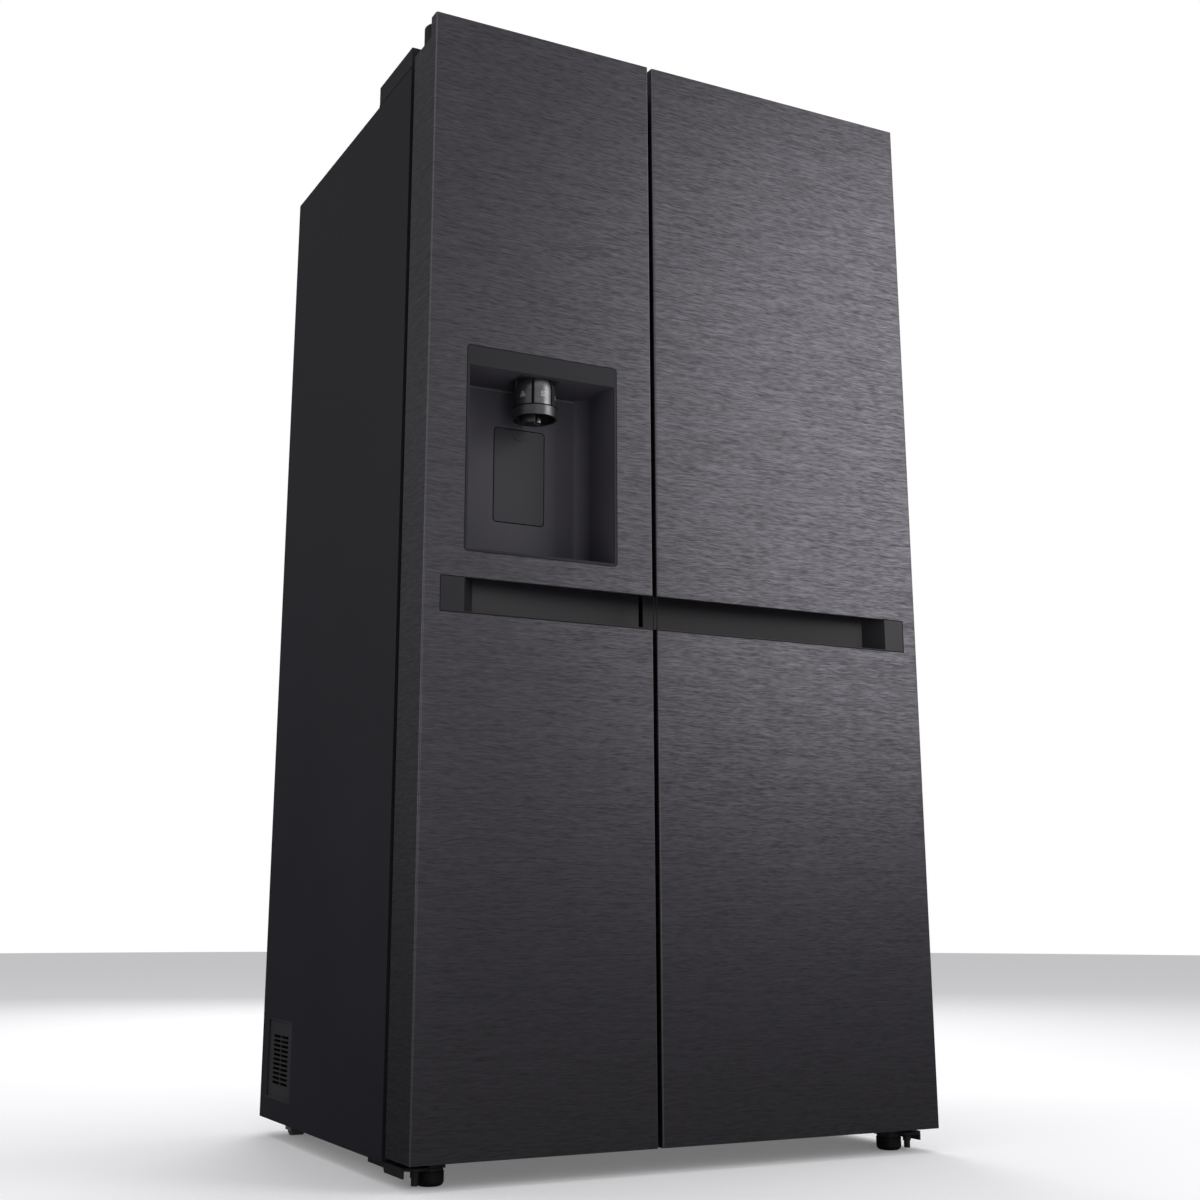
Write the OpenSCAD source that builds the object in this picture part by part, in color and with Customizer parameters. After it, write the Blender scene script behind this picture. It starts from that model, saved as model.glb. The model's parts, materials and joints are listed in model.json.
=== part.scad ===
// Side-by-side refrigerator: freezer with an ice and water dispenser on the left, fresh food on the right.
// Pieces are drawn in cabinet coordinates: x from the left side, y back from the door fronts, z from
// the floor. centred() then moves the origin to the middle of the footprint, on the floor.
// Each door is drawn from its hinge side, and door_side() mirrors the right-hand one.

/* [Cabinet] */
// Width over the side panels
body_w = 913; // [760:1:1100]
// Height from the floor to the top of the doors
total_h = 1790; // [1490:1:2150]
// Depth from the door fronts to the rear spacers
total_d = 735; // [612:1:885]
// Height of the cabinet underside above the floor
cabinet_clear = 28; // [26:1:34]
// Drop from the door tops to the cabinet top
cabinet_drop = 46.5; // [44:0.5:60]
// Length of the rear spacers behind the cabinet
rear_spacer = 19; // [12:1:40]
// Thickness of the sheet steel
sheet = 1; // [0.6:0.1:1.4]
// Thickness of the plastic liners
liner_t = 2; // [1.5:0.5:3]

/* [Compartments] */
// Inside width of the freezer
freezer_w = 309.5; // [255:0.5:375]
// Width of the wall between the two compartments
mullion_w = 55; // [50:1:70]
// Side wall, from the outside face to the liner's inside
side_wall = 58; // [52:1:72]
// Ceiling wall, from the cabinet top to the liner's inside
ceiling_wall = 60; // [45:1:80]
// Floor wall, from the cabinet underside to the liner's inside
floor_wall = 64; // [50:1:80]
// Back wall, from the back panel to the liner's inside
back_wall = 76; // [60:1:90]
// Height of the machine compartment
machine_h = 228; // [215:1:260]
// Depth of the machine compartment
machine_d = 216; // [205:1:240]
// Insulation over the machine compartment
hump_wall = 50; // [35:1:60]
// Number of shelves in the fresh food compartment
fridge_shelf_count = 5; // [3:1:6]
// Number of shelves in the freezer below the ice bin
freezer_shelf_count = 3; // [2:1:4]
// Thickness of a shelf frame
shelf_t = 14; // [10:1:18]
// Height of a drawer
drawer_h = 150; // [120:1:170]
// Free travel of a drawer behind the shut doors
drawer_travel = 50; // [30:1:60]

/* [Doors] */
// Thickness of a door without its gasket
door_t = 94; // [75:1:115]
// Space for the gasket between door and cabinet
gasket_t = 14; // [10:1:20]
// Gap between the two doors
centre_gap = 7; // [6:0.5:12]
// Height of the doors' underside above the floor
door_clear = 36; // [35:1:44]
// Radius of the doors' vertical front edges
door_edge_r = 3; // [1.5:0.5:8]
// Depth of the raised lip along the door top
lip_d = 22; // [16:1:22]
// Height of the lip above the door's top cap
lip_h = 35; // [20:1:40]
// Distance of the hinge pin from the door's side
pin_x = 28; // [26:1:32]
// Distance of the hinge pin from the door front
pin_y = 50; // [50:1:56]
// Radius of the hinge pins
pin_r = 5; // [4:0.5:6]
// Radius of the hinge cover's round nose
nose_r = 27; // [22:0.5:27]
// Depth of a door bin behind the door
bin_d = 107; // [70:1:107]

/* [Handles] */
// Drop from the door top to the top of the handle strip
handle_drop = 928.5; // [900:0.5:1100]
// Height of the handle strip
handle_h = 53; // [45:1:70]
// Width of steel left beside the handle strip's end
handle_margin = 28; // [20:1:50]
// Length of the flat end of the strip
handle_flat = 38; // [25:1:60]
// Depth of the recess at the centre gap
handle_depth = 47; // [40:1:55]
// Depth of the recess where its steep end meets the long wall
handle_bevel_depth = 30; // [20:1:32]
// Height of the finger groove behind the upper lip
groove_h = 18; // [12:1:24]
// Thickness of the upper lip in front of the groove
handle_lip = 12; // [8:1:16]

/* [Dispenser] */
// Drop from the door top to the top of the dispenser frame
dispenser_drop = 559; // [520:1:640]
// Width of the dispenser frame
dispenser_w = 261; // [220:1:290]
// Height of the dispenser frame
dispenser_h = 327; // [280:1:360]
// Depth of the dispenser's back wall
dispenser_depth = 89; // [80:1:92]
// Height of the plain band at the top of the frame
band_h = 32; // [25:1:45]
// Radius of the spout's push buttons
button_r = 33; // [29:0.5:34]
// Height of the push buttons
button_h = 43; // [36:1:50]
// Travel of a push button
button_travel = 1.5; // [1:0.1:1.8]
// Distance of the spout's axis behind the door front
spout_y = 37; // [37:1:46]
// Width of the paddle
paddle_w = 88; // [70:1:110]
// Height of the paddle
paddle_h = 155; // [120:1:160]
// Swing of the paddle in degrees
paddle_swing = 6; // [4:0.5:6]

/* [Feet and fits] */
// Radius of the levelling feet
foot_r = 20; // [16:1:24]
// Radius of the rear rollers
roller_r = 18; // [15:1:22]
// Radial clearance of a shaft in its bore
run_fit = 0.08; // [0.02:0.01:0.1]
// Gap beside pieces that slide or swing
slide_fit = 0.3; // [0.3:0.1:0.8]

/* [Hidden] */
$fn = 48;
past = 1;                                   // how far a cut runs past the face it opens

// Cabinet planes
cab_y0 = door_t + gasket_t;
cab_y1 = total_d - rear_spacer;
cab_z0 = cabinet_clear;
cab_z1 = total_h - cabinet_drop;
plate_t = 2;                                // base plate
frame_t = 1.5;                              // front frame
deck_y = cab_y1 - machine_d;
deck_z = cab_z0 + machine_h;

// Inside faces of the compartments
in_z0 = cab_z0 + floor_wall;
in_z1 = cab_z1 - ceiling_wall;
in_y1 = cab_y1 - back_wall;
hump_y = deck_y - hump_wall;
hump_z = deck_z + hump_wall;
freezer_x = [side_wall, side_wall + freezer_w];
fridge_x = [freezer_x[1] + mullion_w, body_w - side_wall];
gap_x = freezer_x[1] + mullion_w / 2;       // middle of the gap between the doors

// Doors
freezer_door_w = gap_x - centre_gap / 2;
fridge_door_w = body_w - gap_x - centre_gap / 2;
door_z = [door_clear, total_h];
cap_z = total_h - lip_h;                    // top of the cap behind the lip
cap_t = 5;
foam_z = [door_clear + cap_t, cap_z - cap_t];
boss_r = 12;
boss_h = 24;
liner_margin = 13;                          // steel return round the door's back
gasket_edge = 36;                           // gasket's outer edge from the hinge side
gasket_free_edge = 2.5;
gasket_w = 18;
dyke_t = 12;
dyke_d = door_t + 88;
dyke_z = [in_z0 + 8, in_z1 - 8];            // raised frame on the door liner, inside the compartment
bin_x0 = side_wall + 20;
bin_free_edge = 66.5;
bin_back = door_t + bin_d;
inner_y = door_t + gasket_t + bin_d;        // front of the shelves

// Handles
handle_z1 = total_h - handle_drop;
handle_z0 = handle_z1 - handle_h;
handle_wall = 3.5;
bevel_x = 26;
recess_x0 = handle_margin + handle_flat;

// Dispenser
disp_x = [(freezer_door_w - dispenser_w) / 2, (freezer_door_w + dispenser_w) / 2];
disp_z1 = total_h - dispenser_drop;
disp_z0 = disp_z1 - dispenser_h;
disp_wall = 3;
disp_border = 4;
disp_mid = freezer_door_w / 2;
ceiling_z = disp_z1 - band_h;
corner_r = 23;
flare = [8, 25];                            // width and depth of the flared front edge
bore_r = 17;
spout_x = disp_mid + 2;
ring_r = button_r + 3.5;
ring_z = [ceiling_z - 62, ceiling_z - 45];
button_z = [ceiling_z - button_h - 0.6, ceiling_z - 0.6];
button_inner_r = 24;
core_r = button_inner_r - button_travel - 1; // spout behind the buttons
button_angle = 52;                          // degrees of the knob that one button covers
button_pitch = 60;
paddle_top = ceiling_z - 66;
paddle_z = [paddle_top - paddle_h, paddle_top];
paddle_gap = 1.5;
paddle_t = 4;
paddle_corner = 5;
paddle_y = dispenser_depth - 0.3;
paddle_pivot = [paddle_y + paddle_t + 0.5, paddle_top - 6];
pocket_y = paddle_y + paddle_t + paddle_h * sin(paddle_swing) + 0.6;
bulge_y = door_t + 34;                      // liner behind the dispenser
bulge_z = [disp_z0 - 24, disp_z1 + 31];

// Ice path, from the bin's outlet to the spout
chute_w = 72;
chute_x = [disp_mid - chute_w / 2, disp_mid + chute_w / 2];
chute_wall = 2;
chute_top = disp_z1 + 53;
chute_front = [12, 60];
chute_mouth = [108, 170];
flap_z = ceiling_z + 7;
flap_pivot = [chute_front[0] + 6, flap_z + 3];
ice_shelf_z = chute_top;
bin_z = [ice_shelf_z + 6, ice_shelf_z + 180];
bin_wall = 3;
bin_nose_y = 130;
auger_z = bin_z[0] + 45;
auger_r = 28;
tray_z = bin_z[1] + 75;
tray_x = (freezer_x[0] + freezer_x[1]) / 2;
tray_size = [110, 190, 32];

// Shelves and drawers
evap_y = in_y1 - 52;                        // front of the evaporator cover
tray_y = [evap_y - 50 - tray_size[1], evap_y - 50];
drawer_y = bin_back + 34;
drawer_z = [in_z0 + 30, hump_z + 16];
drawer_side = 12;
drawer_lip = 8;
drawer_front_t = 8;
rib_w = 9;
rib_t = 4;
first_shelf_z = drawer_z[1] + drawer_h + 6;
function levels(z0, z1, n) = [for (i = [0:n - 1]) z0 + i * (z1 - z0) / n];
freezer_levels = concat(levels(first_shelf_z, ice_shelf_z, freezer_shelf_count), [ice_shelf_z - shelf_t]);
fridge_levels = levels(first_shelf_z, in_z1, fridge_shelf_count);

// Door bins and the dairy box
bin_h = 100;
low_bin_z = dyke_z[0] + dyke_t + 2;
top_bin_z = dyke_z[1] - dyke_t;
shallow_y = drawer_y - drawer_travel - 5;
freezer_bin_z = levels(low_bin_z, bulge_z[0] - 30, 4);
fridge_bin_z = levels(low_bin_z, top_bin_z - 230, 5);
function bin_reach(z) = z < drawer_z[1] + drawer_h + 20 ? shallow_y : bin_back;

dairy_z = [top_bin_z - 230, top_bin_z - 108];
dairy_x = [bin_x0 + 0.5, fridge_door_w - bin_free_edge - 0.5];
dairy_pivot = [door_t + 10, dairy_z[1] - 5];
dairy_front = bin_back - 14;

// Machine compartment
mach_z = cab_z0 + plate_t;
comp_r = 75;
comp_at = [body_w - 190, deck_y + 108];
fan_r = 78;
fan_at = [comp_at[0] - comp_r - 175, deck_y + 106, mach_z + 112];
shroud_y = [deck_y + 8, cab_y1 - 8];
coil_x = [80, fan_at[0] - 45];
evap_fan = [(freezer_x[0] + freezer_x[1]) / 2, in_y1 - 34, hump_z + 660];
evap_fan_r = 52;

// Mains inlet and circuit board in the back
inlet_at = [body_w - 150, mach_z + 196];
board_z = [total_h - 680, total_h - 420];

// Hinge arms over the doors and lugs under the cabinet
arm_x = [pin_x + 6, pin_x + 28];
arm_z = [cap_z + 5, cap_z + 10];
lug_z = [cab_z0 - 4, cab_z0];

// Feet, rollers and side grille
foot_at = [55.5, 62];
stud_r = 6;
roller_at = [50, cab_y1 - 56];
roller_w = 22;
axle_r = 4;
grille_y = [cab_y1 - 166, cab_y1 - 29];
grille_z = [cab_z0 + 35, cab_z0 + 166];
slot_rows = 11;

module centred() {
    translate([-body_w / 2, -total_d / 2, 0]) children();
}
module door_side(side) {
    if (side == "left") children();
    else translate([body_w, 0, 0]) mirror([1, 0, 0]) children();
}
module both_sides() {
    for (side = ["left", "right"]) door_side(side) children();
}
module block(x, y, z) {
    translate([x[0], y[0], z[0]]) cube([x[1] - x[0], y[1] - y[0], z[1] - z[0]]);
}
module side_profile(x, points) {
    translate([x[0], 0, 0]) rotate([90, 0, 90]) linear_extrude(x[1] - x[0]) polygon(points);
}
module plan(z, points) {
    translate([0, 0, z[0]]) linear_extrude(z[1] - z[0]) polygon(points);
}
module rod_x(x, y, z, r) {
    translate([x[0], y, z]) rotate([0, 90, 0]) cylinder(h = x[1] - x[0], r = r);
}
module rod_y(x, y, z, r) {
    translate([x, y[0], z]) rotate([-90, 0, 0]) cylinder(h = y[1] - y[0], r = r);
}
module rod_z(x, y, z, r) {
    translate([x, y, z[0]]) cylinder(h = z[1] - z[0], r = r);
}
// Open-topped tub with walls of thickness t
module tub(x, y, z, t) {
    difference() {
        block(x, y, z);
        block([x[0] + t, x[1] - t], [y[0] + t, y[1] - t], [z[0] + t, z[1] + past]);
    }
}

// ---------------------------------------------------------------- cabinet
module cabinet_panels() {
    color([0.17, 0.165, 0.18]) centred() {
        both_sides() difference() {
            union() {
                block([0, sheet], [cab_y0, cab_y1], [cab_z0, cab_z1]);
                block([sheet, 14], [cab_y1 - sheet, cab_y1], [deck_z, cab_z1 - sheet]);
            }
            block([-past, sheet + past], grille_y, grille_z);
        }
        block([sheet, body_w - sheet], [cab_y0, cab_y1], [cab_z1 - sheet, cab_z1]);
    }
}

module back_panel() {
    color("darkgray") centred()
        block([sheet, body_w - sheet], [cab_y1 - 2 * sheet, cab_y1 - sheet], [deck_z, cab_z1 - sheet]);
}

// Base plate, the bent deck over the machine compartment, and the rear rollers' forks
module base_plate() {
    color("silver") centred() {
        difference() {
            union() {
                block([sheet, body_w - sheet], [cab_y0 + frame_t, cab_y1 - 2 * sheet], [cab_z0, mach_z]);
                side_profile([sheet, body_w - sheet], [[deck_y - sheet, mach_z], [deck_y, mach_z],
                    [deck_y, deck_z - sheet], [cab_y1 - 2 * sheet, deck_z - sheet],
                    [cab_y1 - 2 * sheet, deck_z], [deck_y - sheet, deck_z]]);
            }
            both_sides() block([roller_at[0] - roller_w / 2 - 1, roller_at[0] + roller_w / 2 + 1],
                [roller_at[1] - roller_r - 3, roller_at[1] + roller_r + 3], [cab_z0 - past, mach_z + past]);
            for (i = [0:8]) block([comp_at[0] - 70 + i * 16, comp_at[0] - 64 + i * 16],
                [comp_at[1] - 45, comp_at[1] + 45], [cab_z0 - past, mach_z + past]);
        }
        both_sides() {
            for (x = [roller_at[0] - roller_w / 2 - 4.5, roller_at[0] + roller_w / 2 + 1])
                block([x, x + 3.5], [roller_at[1] - 14, roller_at[1] + 14], [9, cab_z0]);
            rod_x([roller_at[0] - roller_w / 2 - 6, roller_at[0] + roller_w / 2 + 6], roller_at[1],
                roller_r, axle_r);
        }
    }
}

function cavity_points(grow) = [[cab_y0 - past, in_z0 - grow], [hump_y + grow, in_z0 - grow],
    [hump_y + grow, hump_z - grow], [in_y1 + grow, hump_z - grow], [in_y1 + grow, in_z1 + grow],
    [cab_y0 - past, in_z1 + grow]];
module cavity(x, grow) {
    side_profile([x[0] - grow, x[1] + grow], cavity_points(grow));
}

module cabinet_foam() {
    color("khaki") centred() difference() {
        side_profile([sheet, body_w - sheet], [[cab_y0 + frame_t, mach_z], [deck_y - sheet, mach_z],
            [deck_y - sheet, deck_z], [cab_y1 - 2 * sheet, deck_z], [cab_y1 - 2 * sheet, cab_z1 - sheet],
            [cab_y0 + frame_t, cab_z1 - sheet]]);
        for (x = [freezer_x, fridge_x]) cavity(x, liner_t);
        control_space();
    }
}

// Ribs on the liner that carry the shelves and the drawers' lips
module liner_ribs(x, shelf_z) {
    for (z = shelf_z) for (rx = [[x[0], x[0] + rib_w], [x[1] - rib_w, x[1]]])
        block(rx, [inner_y + 10, in_y1 - 60], [z - rib_t, z]);
    for (i = [0, 1]) for (rx = [[x[0], x[0] + rib_w], [x[1] - rib_w, x[1]]])
        block(rx, [drawer_y + drawer_front_t + 1, i == 0 ? hump_y : in_y1 - 60],
            [drawer_z[i] + drawer_h - drawer_lip - slide_fit - rib_t,
             drawer_z[i] + drawer_h - drawer_lip - slide_fit]);
}
module cabinet_liners() {
    color("white") centred() {
        for (x = [freezer_x, fridge_x]) {
            difference() {
                intersection() {
                    cavity(x, liner_t);
                    block([0, body_w], [cab_y0 + frame_t, cab_y1], [0, total_h]);
                }
                cavity(x, 0);
            }
            liner_ribs(x, x == freezer_x ? freezer_levels : fridge_levels);
        }
    }
}

module front_frame() {
    color([0.16, 0.155, 0.17]) centred() difference() {
        block([sheet, body_w - sheet], [cab_y0, cab_y0 + frame_t], [cab_z0, cab_z1 - sheet]);
        for (x = [freezer_x, fridge_x]) block(x, [cab_y0 - past, cab_y0 + 2 * frame_t], [in_z0, in_z1]);
    }
}

// Plastic grilles in the lower rear of both side panels, with two columns of slots
module side_grilles() {
    pan_d = 4;
    slot_pitch = 7.6;
    slot_h = 4.4;
    slots_y = grille_y[0] + 30;
    slot_w = 39;
    color([0.14, 0.135, 0.15]) centred() both_sides() difference() {
        block([0, pan_d + 2], grille_y, grille_z);
        block([-past, pan_d], [grille_y[0] + 2, grille_y[1] - 2], [grille_z[0] + 2, grille_z[1] - 2]);
        for (i = [0:slot_rows - 1]) for (j = [0, 1])
            translate([0, j * (slot_w + 4), 0]) block([pan_d - past, pan_d + 3], [slots_y, slots_y + slot_w],
                [grille_z[0] + 24 + i * slot_pitch, grille_z[0] + 24 + slot_h + i * slot_pitch]);
    }
}

// ---------------------------------------------------------------- hinges
module upper_hinge() {
    rod_z(pin_x, pin_y, [cap_z - boss_h, arm_z[1]], pin_r);
    rod_z(pin_x, pin_y, arm_z, 16);
    block(arm_x, [pin_y, cab_y0 + 10], arm_z);
    block(arm_x, [cab_y0 + 5, cab_y0 + 10], [cab_z1, arm_z[1]]);
    difference() {
        block([pin_x - 8, pin_x + 42], [cab_y0 + 5, cab_y0 + 142], [cab_z1, cab_z1 + 5]);
        for (y = [cab_y0 + 40, cab_y0 + 85, cab_y0 + 125])
            rod_z(pin_x + 17, y, [cab_z1 - past, cab_z1 + 6], 3.5);
    }
}
// Bracket under the cabinet, with the pin, its nut and the threaded boss of the levelling foot
module lower_hinge() {
    lug_r = 20;
    lug_l = 72;
    difference() {
        union() {
            rod_z(pin_x, pin_y, lug_z, lug_r);
            block([pin_x - lug_r, foot_at[0] + foot_r - 1], [pin_y, cab_y0 + lug_l], lug_z);
            side_profile([6, 9], [[pin_y - 8, lug_z[1]], [pin_y - 8, lug_z[0] - 10],
                [cab_y0 + 4, lug_z[0] - 10], [cab_y0 + 8, lug_z[0] - 4],
                [cab_y0 + lug_l, lug_z[0] - 4], [cab_y0 + lug_l, lug_z[1]]]);
            rod_z(foot_at[0], foot_at[1], [8, 22], 15);
            for (i = [0:2]) rod_z(foot_at[0], foot_at[1], [20.5 + i * 4, 24.5 + i * 4],
                foot_r - 1 - (i % 2) * 1.2);
        }
        rod_z(foot_at[0], foot_at[1], [0, door_clear], stud_r + run_fit);
    }
    rod_z(pin_x, pin_y, [3, door_clear + boss_h - 4], pin_r);
    rod_z(pin_x, pin_y, [lug_z[0] - 10, lug_z[0]], 6.5);
    rod_z(pin_x, pin_y, [lug_z[1], door_clear - slide_fit], 9);
}
module hinges() {
    color("dimgray") centred() both_sides() {
        upper_hinge();
        lower_hinge();
    }
}

module cover_shape(t) {
    cover_top = cap_z + 26;
    under = t > 0 ? 10 : 3;
    block([0.5 + t, pin_x + 50 - t], [cab_y0 + t, cab_y0 + 154 - t],
        [cab_z1 - (t > 0 ? past : 0), cover_top - t]);
    block([arm_x[0] - 4 + t, arm_x[1] + 4 - t], [pin_y, cab_y0 + past + t],
        [arm_z[0] - under, cover_top + 2 - t]);
    rod_z(pin_x, pin_y, [arm_z[0] - under, cover_top + 7 - t], nose_r - t);
}
module hinge_covers() {
    color([0.15, 0.15, 0.16]) centred() both_sides() difference() {
        cover_shape(0);
        cover_shape(2);
    }
}

// ---------------------------------------------------------------- machine compartment
module machine_cover() {
    color("gray") centred() {
        difference() {
            block([sheet, body_w - sheet], [cab_y1 - 2 * sheet, cab_y1], [mach_z, deck_z - sheet]);
            for (i = [0:9]) for (x = [coil_x[0], comp_at[0] - 95])
                block([x, x + 190], [cab_y1 - 3 * sheet, cab_y1 + past],
                    [mach_z + 40 + i * 12, mach_z + 45 + i * 12]);
            block([inlet_at[0] - 14, inlet_at[0] + 14], [cab_y1 - 3 * sheet, cab_y1 + past],
                [inlet_at[1] - 10, inlet_at[1] + 10]);
        }
        for (x = [body_w * 0.04, body_w * 0.96]) difference() {
            block([x - 14, x + 14], [cab_y1, total_d], [mach_z + 60, deck_z - 30]);
            block([x - 11, x + 11], [cab_y1 + 2, total_d + past], [mach_z + 63, deck_z - 33]);
        }
    }
}

module compressor() {
    foot = 8;
    base = mach_z + foot;
    color([0.08, 0.08, 0.09]) centred() translate([comp_at[0], comp_at[1], 0]) {
        rotate_extrude() polygon(concat([[0, base + 4]],
            [for (a = [-90:15:0]) [comp_r - 35 + 35 * cos(a), base + 39 + 35 * sin(a)]],
            [for (a = [0:15:90]) [comp_r - 45 + 45 * cos(a), base + 115 + 45 * sin(a)]],
            [[0, base + 160]]));
        difference() {
            block([-90, 90], [-62, 62], [base, base + 4]);
            for (x = [-78, 78]) for (y = [-50, 50]) rod_z(x, y, [0, base + 10], 5);
        }
        for (x = [-78, 78]) for (y = [-50, 50]) difference() {
            rod_z(x, y, [mach_z, base], 9);
            rod_z(x, y, [mach_z - past, base + past], 5);
        }
        block([comp_r - 12, comp_r + 22], [-28, 28], [base + 45, base + 110]);
    }
}

module drain_pan() {
    color("gainsboro") centred()
        tub([coil_x[0] + 5, coil_x[1] - 10], [deck_y + 25, cab_y1 - 25], [mach_z, mach_z + 24], 2);
}

// Tubes through plate fins, between two end plates that reach the seat
module fin_coil(x, y, z, end_y, end_z, tube_r, rows, columns, fins) {
    step_y = (y[1] - y[0]) / columns;
    step_z = (z[1] - z[0]) / rows;
    for (i = [0:columns - 1]) for (j = [0:rows - 1])
        rod_x(x, y[0] + (i + 0.5) * step_y, z[0] + (j + 0.5) * step_z, tube_r);
    for (k = [0:fins - 1]) {
        fx = x[0] + 8 + k * (x[1] - x[0] - 17) / (fins - 1);
        block([fx, fx + 1], y, z);
    }
    for (ex = [x[0] + 1, x[1] - 2.5]) block([ex, ex + 1.5], end_y, end_z);
}
module coils() {
    color("peru") centred() {
        cond_y = [deck_y + 40, cab_y1 - 40];
        fin_coil(coil_x, cond_y, [mach_z + 28, deck_z - 20], cond_y, [mach_z, deck_z - 20], 4, 4, 3, 14);
        evap_z = [hump_z + 40, hump_z + 400];
        fin_coil([freezer_x[0] + 16, freezer_x[1] - 16], [evap_y + 10, in_y1 - 4], evap_z,
            [evap_y + 10, in_y1], evap_z, 4, 7, 1, 16);
    }
}

module fan_motor(bracket_w) {
    // The axis is +X, with the rotor's face at x = 0
    rod_x([8, 36], 0, 0, 20);
    rod_x([-14, 8], 0, 0, 3);
    for (s = [-1, 1]) block([26, 30], [min(0, s * bracket_w), max(0, s * bracket_w)], [-6, 6]);
}
module fan_motors() {
    color([0.2, 0.2, 0.22]) centred() {
        difference() {
            block([fan_at[0] - 22, fan_at[0] - 19], shroud_y, [mach_z, deck_z - sheet]);
            rod_x([fan_at[0] - 30, fan_at[0] - 10], fan_at[1], fan_at[2], fan_r + 4);
        }
        for (y = [fan_at[1] - 94, fan_at[1] + 88])
            block([fan_at[0] - 19, fan_at[0] + 30], [y, y + 6], [fan_at[2] - 6, fan_at[2] + 6]);
        translate(fan_at) fan_motor(94);
        translate(evap_fan) rotate([0, 0, 90]) scale(0.85) fan_motor(70);
        for (x = [-60, 54])
            block([evap_fan[0] + x, evap_fan[0] + x + 6], [evap_y + 4, evap_fan[1] + 25],
                [evap_fan[2] - 5, evap_fan[2] + 5]);
    }
}
// Rotor with its axis along +X, hub from -12 to 4
module rotor(r, shaft_r, blades) {
    difference() {
        union() {
            rod_x([-12, 4], 0, 0, r * 0.26);
            intersection() {
                rod_x([-15, 6], 0, 0, r);
                for (i = [0:blades - 1]) rotate([i * 360 / blades, 0, 0]) translate([-4, 0, r * 0.6])
                    rotate([0, 0, 28]) cube([2, r * 0.62, r * 0.84], center = true);
            }
        }
        rod_x([-20, 8], 0, 0, shaft_r + run_fit);
    }
}
module condenser_fan() {
    color([0.1, 0.1, 0.1]) centred() translate(fan_at) rotor(fan_r, 3, 5);
}
module evaporator_fan() {
    color("whitesmoke") centred() translate(evap_fan) rotate([0, 0, 90])
        rotor(evap_fan_r, 3 * 0.85, 5);
}

module evaporator_cover() {
    top = evap_fan[2] + 90;
    x = [freezer_x[0] + 0.5, freezer_x[1] - 0.5];
    color("white") centred() difference() {
        union() {
            block(x, [evap_y, evap_y + 4], [hump_z, top]);
            block(x, [evap_y, in_y1], [top - 4, top]);
        }
        for (i = [0:6]) block([evap_fan[0] - 48, evap_fan[0] + 48], [evap_y - past, evap_y + 5],
            [evap_fan[2] - 45 + i * 14, evap_fan[2] - 38 + i * 14]);
        for (i = [0:3]) block([evap_fan[0] - 90, evap_fan[0] + 90], [evap_y - past, evap_y + 5],
            [hump_z + 12 + i * 10, hump_z + 17 + i * 10]);
    }
}

module air_duct() {
    mid = (fridge_x[0] + fridge_x[1]) / 2;
    color("white") centred() difference() {
        block([mid - 80, mid + 80], [in_y1 - 24, in_y1], [hump_z + 170, in_z1 - 20]);
        block([mid - 77, mid + 77], [in_y1 - 21, in_y1 + past], [hump_z + 173, in_z1 - 23]);
        for (z = fridge_levels) for (x = [mid - 50, mid + 10])
            block([x, x + 40], [in_y1 - 26, in_y1 - 20], [z + 120, z + 130]);
    }
}

// Printed circuit and mains inlet in a recess of the back
module control_space() {
    block([body_w / 2 - 90, body_w / 2 + 90], [in_y1 + 26, cab_y1], board_z);
}
module control_box() {
    color([0.75, 0.75, 0.78]) centred() {
        block([body_w / 2 - 90, body_w / 2 + 90], [in_y1 + 26, in_y1 + 29], board_z);
        for (i = [0:3]) block([body_w / 2 - 70 + i * 36, body_w / 2 - 46 + i * 36], [in_y1 + 29, in_y1 + 48],
            [board_z[0] + 40, board_z[0] + 120]);
        difference() {
            block([inlet_at[0] - 18, inlet_at[0] + 18], [cab_y1 - 30, cab_y1 - 2 * sheet],
                [inlet_at[1] - 14, inlet_at[1] + 14]);
            block([inlet_at[0] - 13, inlet_at[0] + 13], [cab_y1 - 22, cab_y1],
                [inlet_at[1] - 9, inlet_at[1] + 9]);
        }
    }
}

module lamps() {
    color("lightyellow") centred() for (x = [freezer_x, fridge_x]) {
        mid = (x[0] + x[1]) / 2;
        block([mid - 45, mid + 45], [cab_y0 + 60, cab_y0 + 130], [in_z1 - 8, in_z1]);
    }
}

// ---------------------------------------------------------------- shelves and drawers
function shelf_back(x) = x == freezer_x ? evap_y - 8 : in_y1 - 26;
module shelf_plate(x, z) {
    rim = 16;
    y = [inner_y, shelf_back(x)];
    difference() {
        block([x[0] + 1, x[1] - 1], y, [z, z + shelf_t]);
        block([x[0] + 1 + rim, x[1] - 1 - rim], [y[0] + rim, y[1] - rim], [z - past, z + shelf_t + past]);
        shelf_pane(x, z, 0);
    }
}
module shelf_pane(x, z, gap) {
    ledge = 8;
    y = [inner_y, shelf_back(x)];
    block([x[0] + 1 + ledge + gap, x[1] - 1 - ledge - gap], [y[0] + ledge + gap, y[1] - ledge - gap],
        [z + shelf_t - 5, z + shelf_t + (gap > 0 ? 0 : past)]);
}
module shelf_frames() {
    color("gainsboro") centred() {
        for (z = freezer_levels) shelf_plate(freezer_x, z);
        for (z = fridge_levels) shelf_plate(fridge_x, z);
    }
}
module shelf_glass() {
    color([0.7, 0.85, 0.8, 0.4]) centred() {
        for (z = freezer_levels) shelf_pane(freezer_x, z, 0.2);
        for (z = fridge_levels) shelf_pane(fridge_x, z, 0.2);
    }
}

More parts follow.
